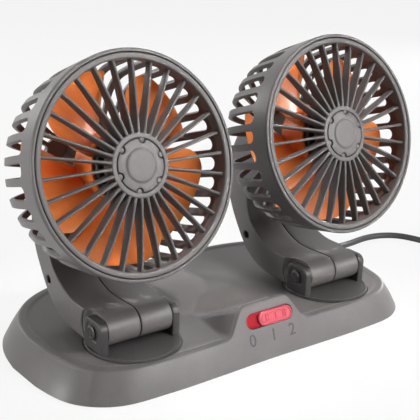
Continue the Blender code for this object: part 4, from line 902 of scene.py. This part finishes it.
# Pin: domed head with a ring groove, and shank. Its cap: the button on its other end, with the same groove
PIN = [(0.0, -22.6), (1.4, -22.6), (1.5, -22.35), (2.0, -22.35), (2.15, -22.6), (2.9, -22.5), (3.4, -22.15),
       (3.4, -21.7), (2.0, -21.7), (2.0, 21.55), (0.0, 21.55)]
PIN_CAP = [(0.0, 22.75), (1.4, 22.75), (1.5, 22.5), (2.0, 22.5), (2.15, 22.7), (2.7, 22.6), (3.3, 22.2),
           (3.4, 21.85), (0.0, 21.85)]

# Turntables, ears and pins take the near-black graphite, whose darkness is partly painted shade
for hand, side in HANDS.items():
    turntable = f"turntable_{hand}"
    piece(f"turntable_dressed_{hand}", turntable_draft(), dark_graphite_with_painted_shade, turntable, "dark_plastic", turntable,
          carry=about_turn(side))
    piece(f"pin_{hand}", turned_draft(PIN), dark_graphite_with_painted_shade, turntable, "steel", f"hinge_pin_{hand}",
          carry=about_hinge(side))
    piece(f"pin_cap_{hand}", turned_draft(PIN_CAP), dark_graphite_with_painted_shade, turntable, "dark_plastic", f"hinge_cap_{hand}",
          carry=about_hinge(side))


# Arms, with places (back, up) from the hinge

# Half width, half width of the neck between the ears, share of the width left at the head, half the seam
ARM_HALF = 20.4
ARM_NECK = 17.1
ARM_TOP_SHARE = 0.78
ARM_SEAM = 0.3
# Lower side from the barrel to the pad behind the head, and upper side back, in shares of the pad's top
ARM_UNDER = [(0.45, -0.097), (0.74, -0.07), (1.0, 0.02), (1.24, 0.20), (1.45, 0.41), (1.515, 0.60),
             (1.43, 0.78), (1.16, 0.985)]
ARM_OVER = [(0.93, 0.60), (1.055, 0.45), (1.01, 0.31), (0.85, 0.19), (0.50, 0.098)]
# Radius of the barrel, radius left free about the ears, and how far that opens along the neck
BARREL = 7.7
EAR_ROOM = 8.6
NECK_SPREAD = 3.4
# The screw's place, and its recess as (radius, x) from the outside in
ARM_SCREW = (44.7, 9.0)
SCREW_RECESS = [(2.75, -23.0), (2.75, -20.55), (2.1, -19.9), (2.1, -9.4)]
# Half height of the pad, and rows and columns at which a flank is read
PAD_HALF = 15.0
ARM_ROWS = 80
ARM_COLUMNS = 29


def head_axis(depth, up=0.0):
    """(back, up) from the hinge of a point at a depth behind the head's front plane."""
    return np.array([-HEAD_FRONT + depth * cos(HEAD_TILT) + up * sin(HEAD_TILT),
                     HEAD_RISE - depth * sin(HEAD_TILT) + up * cos(HEAD_TILT)])


def arm_outline():
    """Side view of the arm, as (back, up) points from the hinge, in three parts: the round barrel from
    its top to its bottom, the lower side up to the pad behind the head, and the upper side back down."""
    pad = HEAD_DEPTH + 1.7
    top, bottom = head_axis(pad, PAD_HALF), head_axis(pad, -PAD_HALF)
    a = np.linspace(0.0, pi, 33)
    barrel = np.stack([-BARREL * np.sin(a), BARREL * np.cos(a)], -1)
    lower = smooth_curve(np.vstack([barrel[-1:], np.array(ARM_UNDER) * top, top[None]]), 10)
    upper = smooth_curve(np.vstack([bottom[None], np.array(ARM_OVER) * top, barrel[:1]]), 10)
    return barrel, lower, upper


def unit_rows(vectors):
    """The direction of each row, with length 1."""
    return vectors / np.maximum(np.linalg.norm(vectors, axis=1), 1e-9)[:, None]


def drawn_in(outline, distance):
    """A closed outline moved inwards along the bisectors of its corners."""
    sides = np.roll(outline, -1, axis=0) - outline
    after = unit_rows(np.stack([-sides[:, 1], sides[:, 0]], -1))
    before = np.roll(after, 1, axis=0)
    both = unit_rows(before + after)
    stretch = 1 / np.maximum((both * before).sum(axis=1), 0.6)
    return outline + both * (distance * stretch)[:, None]


def parted(way, radius):
    """A path that leaves a circle about the hinge, parted where it crosses the circle."""
    reach = np.hypot(*way.T)
    k = int(np.argmax(reach > radius))
    at = way[k - 1] + (way[k] - way[k - 1]) * (radius - reach[k - 1]) / (reach[k] - reach[k - 1])
    return np.vstack([way[:k], at]), np.vstack([at, way[k:]])


def even(way, count):
    """A path read at even steps."""
    return read_path(way, np.linspace(0.0, arc_lengths(way)[-1], count))


def arm_sides(inset, hollow):
    """The arm's outline moved in, as two sides from the ear's clearance circle to the pad, and the end
    between them from upper to lower: the barrel's curve, or the circle itself, grown by the hollow."""
    barrel, lower, upper = arm_outline()
    moved = drawn_in(np.vstack([barrel, lower[1:], upper[:-1]]), inset)
    turn, pad = len(barrel), len(barrel) + len(lower) - 1
    radius = EAR_ROOM + (0.0 if hollow is None else hollow + inset)
    near_low, far_low = parted(moved[turn - 1:pad], radius)
    near_up, far_up = parted(np.vstack([moved[pad:], moved[:1]])[::-1], radius)
    if hollow is not None:
        corners = np.array([far_up[0], far_low[0]])
        a = np.linspace(*np.arctan2(corners[:, 1], corners[:, 0]), ARM_COLUMNS)
        end = np.linspace(*np.hypot(*corners.T), ARM_COLUMNS)[:, None] * np.stack([np.cos(a), np.sin(a)], -1)
    else:
        end = even(np.vstack([near_up[::-1], moved[1:turn - 1], near_low]), ARM_COLUMNS)
    return end, even(far_low, ARM_ROWS), even(far_up, ARM_ROWS)


def arm_draft(sign):
    """Half of the arm: its outline carried across from the seam, with rounded edges. Beyond the neck the
    barrel gives way to a hollow that opens in an S round the ear. Its two flanks are grids between the
    sides, (1-v) upper + v lower + (end - its chord)(1-u)^6, and the width narrows towards the head.
    Levels are (inset, hollow, x) from the seam outwards."""
    soft, seam = 0.8, 0.35
    quarter = np.linspace(0.0, pi / 2, 5)
    levels = [(seam * (1 - sin(a)), None, ARM_SEAM + seam * (1 - cos(a))) for a in quarter]
    levels += [(0.0, None, x) for x in (4.0, 8.0, 12.0, ARM_NECK)]
    neck = np.linspace(0.0, 1.0, 7)
    levels += [(0.0, NECK_SPREAD * t, ARM_NECK + (ARM_HALF - soft - ARM_NECK) * smooth_step(t)) for t in neck]
    levels += [(soft * (1 - cos(a)), NECK_SPREAD, ARM_HALF - soft + soft * sin(a))
               for a in np.linspace(0.0, pi / 2, 7)[1:]]
    v = np.linspace(0.0, 1.0, ARM_COLUMNS)[:, None]
    u = np.linspace(0.0, 1.0, ARM_ROWS)[:, None, None]
    rings = []
    flanks = []
    for inset, hollow, x in levels:
        end, low, up = arm_sides(inset, hollow)
        pad = low[-1] + (up[-1] - low[-1]) * v
        rings.append(np.insert(np.vstack([end, low[1:], pad[1:], up[::-1][1:-1]]), 0, x, axis=1))
        if len(rings) in (1, len(levels)):
            bulge = end - end[0] * (1 - v) - end[-1] * v
            across = up[:, None] * (1 - v) + low[:, None] * v + bulge * (1 - u) ** 6
            flanks.append(np.insert(across, 0, x, axis=2))
    draft = Draft()
    for grid, around in ((np.array(rings), True), (flanks[0], False), (flanks[1], False)):
        share = smooth_step((grid[..., 2] / HEAD_RISE - 0.2) / 0.6)
        grid[..., 0] *= sign * (1 - (1 - ARM_TOP_SHARE) * share)
        draft.sheet(grid, around)
    return draft


def screw_recess(carry):
    """Round recess in the outer side of the left half, over the arm's screw."""
    a = np.arange(40) * tau / 40
    rings = [np.stack([np.full(40, x), ARM_SCREW[0] + r * np.cos(a), ARM_SCREW[1] + r * np.sin(a)], -1)
             for r, x in SCREW_RECESS]
    draft = Draft()
    draft.sheet(np.array(rings), caps=(True, True))
    return add_object("screw_recess", draft.mesh("screw_recess", carry))


for hand, side in HANDS.items():
    carry = about_hinge(side)
    piece(f"arm_half_left_{hand}", arm_draft(-1), graphite, f"head_{hand}", "graphite_plastic",
          f"arm_left_half_{hand}", carry=carry, cutter=screw_recess(carry))
    piece(f"arm_half_right_{hand}", arm_draft(1), graphite, f"head_{hand}", "graphite_plastic",
          f"arm_right_half_{hand}", carry=carry)


# Heads, with depths behind the front

# Housing: (radius, depth) of its outside from the rear boss to the front lip, and points on that
HOUSING = [(15.5, 44.8), (40.0, 44.35), (46.9, 38.5), (49.0, 27.8), (51.08, 1.34)]
HOUSING_STEPS = 2000
# Slots: number, half angle, depth of the front end, and radius at the rear end and at the front end
SLOTS = 32
SLOT_HALF = 0.64 * pi / SLOTS
SLOT_FRONT = 11.5
SLOT_INNER = 25.0
SLOT_OUTER = 50.0
SEAT_DEPTH = 6.0
# Grille: outer and inner radius of its ring, number of spokes, and radius of its hub
GRILLE_RADIUS = 49.1
GRILLE_INNER = 46.4
SPOKES = 30
HUB_RADIUS = 14.3
# Hub cap: radius, number of bites in its edge and the first one's angle in degrees
CAP_RADIUS = 11.6
CAP_BITES = 6
CAP_TURN = -18.0
# Blades: number, and in degrees the first one's angle, the angle that each spans and its sweep
BLADES = 5
BLADE_TURN = -15.0
BLADE_SPAN = 60.0
BLADE_SWEEP = 16.0


def about_head(side):
    """From a head's own axes (across, down, deep) to the frame."""
    axes = np.array([[1.0, 0.0, 0.0], [0.0, -sin(HEAD_TILT), -cos(HEAD_TILT)],
                     [0.0, cos(HEAD_TILT), -sin(HEAD_TILT)]])
    centre = np.array([side * HEAD_PITCH / 2, TURN_Y + HINGE[0] - HEAD_FRONT, HINGE[1] + HEAD_RISE])
    return lambda points: centre + points @ axes


def housing_section():
    """The housing's section, a loop of (radius, depth) points: outside from the rear boss to the front lip,
    over the grille's seat, and back along the inside, one wall away along the normals. With it come half
    the slot's angle at each point, which follows a half circle at both ends of the slot, the number of
    outside points that have a partner inside, and the partners' places in the loop."""
    outer = rounded(HOUSING, 5.0, 8)
    lip = rounded([outer[-1], (HOUSING[-1][0], 0.0), (GRILLE_RADIUS + 0.45, 0.0)], 0.8, 6)
    outer = np.vstack([outer[:-1], lip])
    dense_s = np.linspace(0.0, arc_lengths(outer)[-1], HOUSING_STEPS)
    dense = read_path(outer, dense_s)
    s_rear = dense_s[np.argmax(dense[:, 0] > SLOT_INNER)]
    s_front, seat_s = (dense_s[HOUSING_STEPS - 1 - np.argmax(dense[::-1, 1] > depth)]
                       for depth in (SLOT_FRONT, SEAT_DEPTH + 2.0))
    phi = np.linspace(0.0, pi / 2, 7)
    rear_s = s_rear + SLOT_HALF * SLOT_INNER * (1 - np.cos(phi))
    front_s = (s_front - SLOT_HALF * SLOT_OUTER * (1 - np.cos(phi)))[::-1]
    middle_s = np.linspace(rear_s[-1], front_s[0], 34)[1:-1]
    lip_s = dense_s[np.linspace(np.searchsorted(dense_s, seat_s + 1.0), HOUSING_STEPS - 1, 14).astype(int)]
    places = np.concatenate([[0.0, 0.4, 4.0, s_rear - 1.5], rear_s, middle_s, front_s,
                             [s_front + 1.2, seat_s], lip_s])
    opening = np.concatenate([np.zeros(4), SLOT_HALF * np.sin(phi), np.full(len(middle_s), SLOT_HALF),
                              SLOT_HALF * np.sin(phi)[::-1], np.zeros(2 + len(lip_s))])

    def at_places(values):
        """Values along the outside, read at the places of the section's points."""
        return np.stack([np.interp(places, dense_s, column) for column in values.T], -1)

    outside = at_places(dense)
    way = unit_rows(at_places(np.gradient(dense, dense_s, axis=0)))
    paired = len(places) - len(lip_s)
    inside = (outside + HEAD_WALL * np.stack([way[:, 1], -way[:, 0]], -1))[:paired]
    rim, foot = GRILLE_RADIUS + 0.35, inside[-1, 0]
    seat = np.array([(rim, 0.12), (rim, 3.0), (rim, SEAT_DEPTH), (foot + 0.1, SEAT_DEPTH),
                     (foot, SEAT_DEPTH + 0.2)])
    boss = np.array([(4.0, 42.6), (4.0, 46.2), (15.3, 46.2), (15.5, 46.0)])
    section = np.vstack([outside, seat, inside[::-1], boss])
    widths = np.concatenate([opening, np.zeros(len(seat)), opening[:paired][::-1], np.zeros(len(boss))])
    return section, widths, paired, len(outside) + len(seat) + paired - 1 - np.arange(paired)


def housing_draft():
    """Shell of revolution with slots. Each sector's columns are spread from the slot's edge to the middle of
    the bar, so they meet at the slot's middle where there is no slot: angle = w + (pi/slots - w) j/m. Walls
    join outside and inside along the slots."""
    section, widths, paired, partner = housing_section()
    spread = widths[:, None] + (pi / SLOTS - widths[:, None]) * np.linspace(0.0, 1.0, 5)
    grid = np.arange(spread.size).reshape(spread.shape)
    ahead = np.roll(grid, -1, axis=0)
    quads = np.stack([grid[:, :-1], grid[:, 1:], ahead[:, 1:], ahead[:, :-1]], -1).reshape(-1, 4)
    row = np.where((widths[:paired - 1] > 0) | (widths[1:paired] > 0))[0]
    walls = np.stack([grid[row, 0], grid[row + 1, 0], grid[partner[row + 1], 0], grid[partner[row], 0]], -1)
    draft = Draft()
    for k in range(SLOTS):
        for sign in (1, -1):
            angle = (k + 0.5) * tau / SLOTS + sign * spread
            points = np.stack([section[:, :1] * np.cos(angle), section[:, :1] * np.sin(angle),
                               np.broadcast_to(section[:, 1:], angle.shape)], -1)
            draft.add(points, np.vstack([quads, walls]))
    return draft


def spoke_sections(share):
    """Section of a spoke at a share s of the way out: half width at the front and at the rear, which flare
    by 0.35 exp(-14 s) at the hub and 0.55 exp(-16 (1 - s)) at the ring, front depth, and rear depth,
    which comes nearer outwards."""
    flare = 0.35 * np.exp(-share * 14) + 0.55 * np.exp(-(1 - share) * 16)
    front = -0.7 * (1 - share) + 2.2 * share ** 2
    rear = front + 7.2 * (1 - share * 0.56)
    return 0.56 + flare, 0.66 + flare, front, rear


def grille_draft():
    """Ring, hub ring and deep spokes with rounded front edges."""
    draft = Draft()
    ring = rounded([(GRILLE_RADIUS, 5.7), (GRILLE_RADIUS, 0.0), (GRILLE_INNER + 0.2, 0.0),
                    (GRILLE_INNER - 0.1, 1.2), (GRILLE_INNER, 5.7)], 0.75, 5)
    draft.lathe(ring, 180)
    hub = rounded([(0.0, 7.0), (HUB_RADIUS, 7.0), (HUB_RADIUS, -0.9), (CAP_RADIUS + 0.45, -1.0),
                   (CAP_RADIUS + 0.45, 1.1), (0.0, 1.1)], 0.55, 4)
    draft.lathe(hub, 120, closed=False)
    share = np.linspace(0.0, 1.0, 15)
    near, far = HUB_RADIUS - 0.8, GRILLE_INNER + 1.4
    radius = near + (far - near) * share
    half_front, half_rear, front, rear = spoke_sections(share)
    a = np.linspace(0.0, pi, 7)
    round_off = half_front * 0.8
    side = np.concatenate([-np.cos(a)[None, :] * half_front[:, None], half_rear[:, None],
                           -half_rear[:, None]], axis=1)
    deep = np.concatenate([(front + round_off)[:, None] - np.sin(a)[None, :] * round_off[:, None],
                           rear[:, None], rear[:, None]], axis=1)
    out = np.broadcast_to(radius[:, None], side.shape)
    for k in range(SPOKES):
        turn = k * tau / SPOKES
        points = np.stack([out * cos(turn) - side * sin(turn), out * sin(turn) + side * cos(turn), deep], -1)
        draft.sheet(points, caps=(True, True))
    return draft


def cap_edge(angle, radius=CAP_RADIUS, bite=1.9):
    """Radius of the hub cap's edge at an angle: a circle with round bites. In a bite it is the nearer
    crossing with the bite's circle, R cos a - sqrt(b^2 - R^2 sin^2 a)."""
    half = pi / CAP_BITES
    local = (angle - radians(CAP_TURN) + half) % (2 * half) - half
    inside = bite ** 2 - (radius * np.sin(local)) ** 2
    edge = radius * np.cos(local) - np.sqrt(np.maximum(inside, 0.0))
    return np.where((inside > 0) & (edge < radius), edge, radius)


def hub_cap_draft():
    """Hub cap: bitten rim, a shallow step, and a raised disc with a rounded edge. A small round stud sits in
    each bite."""
    draft = Draft()
    angle = np.arange(540) * tau / 540
    edge = cap_edge(angle)
    top = -1.05
    rings = [np.zeros_like(edge), edge - 0.4, edge, edge - 0.08, edge - 0.3]
    depths = [0.9, 0.9, -0.75, top + 0.08, top]
    steps = [(8.3, top), (7.9, top - 0.02), (7.55, top - 0.14), (7.2, top - 0.42), (6.8, top - 0.56),
             (6.2, top - 0.6), (3.0, top - 0.62), (0.0, top - 0.62)]
    for radius, depth in steps:
        rings.append(np.minimum(edge - 0.45, radius) if radius > 7.9 else np.full_like(edge, radius))
        depths.append(depth)
    grid = np.stack([np.stack([r * np.cos(angle), r * np.sin(angle), np.full_like(r, d)], -1)
                     for r, d in zip(rings, depths)])
    draft.sheet(grid)
    stud = [(0.0, 0.9), (1.35, 0.9), (1.35, -0.35), (1.2, -0.55), (0.8, -0.65), (0.0, -0.68)]
    for k in range(CAP_BITES):
        spot = radians(CAP_TURN + k * 360.0 / CAP_BITES)
        draft.lathe(stud, 28, closed=False, at=np.array([cos(spot), sin(spot), 0.0]) * (CAP_RADIUS - 0.15))
    return draft


def impeller_draft():
    """Ring and twisted blades. A blade's point at share s along its span and o outwards lies at angle
    turn - span (s - 1/2) + sweep o^1.5 and at a depth that falls from rear to front with s. The front
    corner of the tip is a quarter round, and the sheet thins towards its edges."""
    tip, rear, front, inner = 44.5, 29.0, 12.5, 16.1
    draft = Draft()
    ring = [(inner, rear), (inner + 1.2, rear), (inner + 1.2, front), (inner, front)]
    draft.lathe(rounded(ring, 0.3, 3), 100)
    root = inner + 0.6
    s = 1 - (1 - np.linspace(0.0, 1.0, 30)) ** 1.35
    o = np.linspace(0.0, 1.0, 22)
    share, out = np.meshgrid(s, o, indexing="ij")
    corner = np.clip((share - 0.83) / 0.17, 0.0, 1.0)
    edge = tip - 8.0 * (1 - np.sqrt(1 - corner ** 2 * 0.985))
    lead = np.clip((0.06 - share) / 0.06, 0.0, 1.0)
    edge = edge - 1.2 * lead ** 2
    radius = root + (edge - root) * out
    reach = (radius - root) / (tip - root)
    span = radians(BLADE_SPAN) * (share - 0.5)
    depth = rear + (front - rear) * (0.5 + (share - 0.5) * (1 - 0.25 * reach))
    depth = depth + 1.1 * np.sin(pi * share) * reach
    thin = 0.62 * (1 - 0.72 * np.maximum(np.abs(2 * share - 1) ** 14, out ** 18))
    for k in range(BLADES):
        angle = -radians(BLADE_TURN + k * 360.0 / BLADES) - span + radians(BLADE_SWEEP) * reach ** 1.5
        x, y = radius * np.cos(angle), radius * np.sin(angle)
        upper = np.stack([x, y, depth - thin], -1)
        lower = np.stack([x, y, depth + thin], -1)
        draft.sheet(np.concatenate([upper, lower[:, ::-1]], axis=1), caps=(True, True))
    return draft


def rotor_draft():
    """Rotor cup, open to the rear: rounded front corner and a raised boss round the shaft's hole."""
    outer, inner, rear = 15.8, 14.4, 29.0
    front = rounded([(outer, rear), (outer, 10.0), (4.6, 10.0), (4.2, 9.6), (1.7, 9.6), (1.7, 10.3),
                     (0.0, 10.3)], 1.3, 6)
    draft = Draft()
    draft.lathe(np.vstack([[(0.0, 11.4), (inner, 11.4), (inner, rear)], front]), 96, closed=False)
    return draft


for hand, side in HANDS.items():
    head, fan, carry = f"head_{hand}", f"fan_{hand}", about_head(side)
    piece(f"housing_{hand}", housing_draft(), graphite, head, "graphite_plastic", f"rear_housing_{hand}",
          carry=carry, edge=0.3, sharp=40)
    piece(f"grille_{hand}", grille_draft(), graphite, head, "graphite_plastic", f"front_grille_{hand}",
          carry=carry, sharp=40)
    piece(f"cap_{hand}", hub_cap_draft(), graphite, head, "graphite_plastic", f"hub_cap_{hand}", carry=carry)
    piece(f"blades_{hand}", impeller_draft(), orange, fan, "orange_plastic", f"impeller_{hand}",
          carry=carry, sharp=50)
    piece(f"rotor_{hand}", rotor_draft(), nylon, fan, "black_plastic", f"rotor_cup_{hand}", carry=carry)


# Solids that stay, with their finishes

NODE_FINISHES = {"base_plate": dark_graphite_with_painted_shade, "foot": rubber, "cord_tie": rubber, "plug_sleeve": tin,
                 "plug_tongue": nylon, "circuit_board": board}


def finish_of(name):
    """The finish of the solids whose name starts so, and zinc plate for screws, shafts and motors."""
    for start, surface in NODE_FINISHES.items():
        if name.startswith(start):
            return surface
    return zinc


for name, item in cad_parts.items():
    item.data.materials.clear()
    item.data.materials.append(finish_of(name))


# Floor, backdrop and light

# Floor: shades of the paper, fibres per metre, half its width, and the glowing share of its white
PAPER = ("#dadada", "#dfdfdf")
PAPER_FIBRE = 900.0
PAPER_REACH = 3.0
FLOOR_GLOW = 0.88
# Strength of the fill light from the left and from the right
SIDE_LIGHT = (0.01, 0.08)


def whitened(tree, share, plain_shader, white_shader):
    """Mixes a share of a white shader over a plain one, for what the camera sees itself, in gloss and
    through glass."""
    path = node(tree, "ShaderNodeLightPath")
    seen = node(tree, "ShaderNodeMath", {0: path.outputs["Is Camera Ray"], 1: path.outputs["Is Glossy Ray"]},
                operation="MAXIMUM")
    seen = node(tree, "ShaderNodeMath", {0: seen.outputs[0], 1: path.outputs["Is Transmission Ray"]},
                operation="MAXIMUM")
    part = node(tree, "ShaderNodeMath", {0: seen.outputs[0], 1: share}, operation="MULTIPLY")
    return node(tree, "ShaderNodeMixShader", {0: part.outputs[0], 1: plain_shader.outputs[0],
                                              2: white_shader.outputs[0]})


def lay_floor():
    """A pale paper floor that takes the shadow. To the camera, and in gloss, most of its white is a glow,
    and the rest is the lit paper, which keeps the shadow in the picture."""
    surface, tree, shader = new_surface("matt white paper floor", 0.9)
    place = node(tree, "ShaderNodeTexCoord").outputs["Object"]
    fibre = node(tree, "ShaderNodeTexNoise", {"Vector": place, "Scale": PAPER_FIBRE, "Detail": 2.0})
    tone = node(tree, "ShaderNodeMix", {"Factor": fibre.outputs["Fac"], 6: linear(PAPER[0]),
                                        7: linear(PAPER[1])}, data_type="RGBA")
    tree.links.new(tone.outputs[2], shader.inputs["Base Color"])
    glow = node(tree, "ShaderNodeEmission", {"Color": (1.0, 1.0, 1.0, 1.0), "Strength": 1.0})
    mix = whitened(tree, FLOOR_GLOW, shader, glow)
    tree.links.new(mix.outputs[0], tree.nodes["Material Output"].inputs["Surface"])
    mesh = bpy.data.meshes.new("floor")
    corners = [(x * PAPER_REACH, y * PAPER_REACH, 0.0) for x, y in ((-1, -1), (1, -1), (1, 1), (-1, 1))]
    mesh.from_pydata(corners, [], [(0, 1, 2, 3)])
    mesh.materials.append(surface)
    add_object("floor", mesh)


def hang_backdrop():
    """White all round to the camera and in gloss. As light on the object it is a weak fill that grows from
    left to right."""
    world = bpy.data.worlds.new("studio")
    bpy.context.scene.world = world
    world.use_nodes = True
    tree = world.node_tree
    tree.nodes.clear()
    way = node(tree, "ShaderNodeSeparateXYZ", {0: node(tree, "ShaderNodeTexCoord").outputs["Generated"]})
    side = node(tree, "ShaderNodeMapRange", {"Value": way.outputs["X"], "From Min": -0.6, "From Max": 0.6,
                                             "To Min": SIDE_LIGHT[0], "To Max": SIDE_LIGHT[1]})
    soft = node(tree, "ShaderNodeBackground", {"Color": (1.0, 1.0, 1.0, 1.0), "Strength": side.outputs[0]})
    white = node(tree, "ShaderNodeBackground", {"Color": (1.0, 1.0, 1.0, 1.0), "Strength": 1.0})
    mix = whitened(tree, 1.0, soft, white)
    out = node(tree, "ShaderNodeOutputWorld")
    tree.links.new(mix.outputs[0], out.inputs["Surface"])


def lamp(name, place, target, size, watts, spread=180.0):
    """A square soft box at a place, turned to a target, both in metres. Its spread is in degrees."""
    data = bpy.data.lights.new(name, "AREA")
    data.shape = "SQUARE"
    data.size = size
    data.energy = watts
    data.spread = radians(spread)
    item = add_object(name, data)
    way = Vector(target) - Vector(place)
    item.matrix_world = Matrix.Translation(place) @ way.to_track_quat("-Z", "Y").to_matrix().to_4x4()


lay_floor()
hang_backdrop()
# The key lights the fronts from the right, and the left box the drums' sides
lamp("key soft box", (0.6, -1.1, 0.62), (0.0, 0.0, 0.06), 0.8, 18.0)
lamp("left soft box", (-1.1, 0.25, 0.2), (-0.05, 0.0, 0.05), 0.3, 7.5)
# A narrow one from above brightens the middle of the base, as in the photograph
lamp("top soft box", (0.12, -0.5, 1.05), (0.01, -0.015, 0.03), 0.2, 0.12, spread=5.0)
# These two draw thin lights on the right-hand edges and shape the back
lamp("edge soft box", (1.1, 0.3, 0.28), (0.0, 0.0, 0.05), 0.25, 6.0)
lamp("rear soft box", (-0.35, 0.95, 0.4), (0.0, 0.0, 0.06), 0.25, 2.5)
bpy.context.scene.view_settings.view_transform = "Standard"
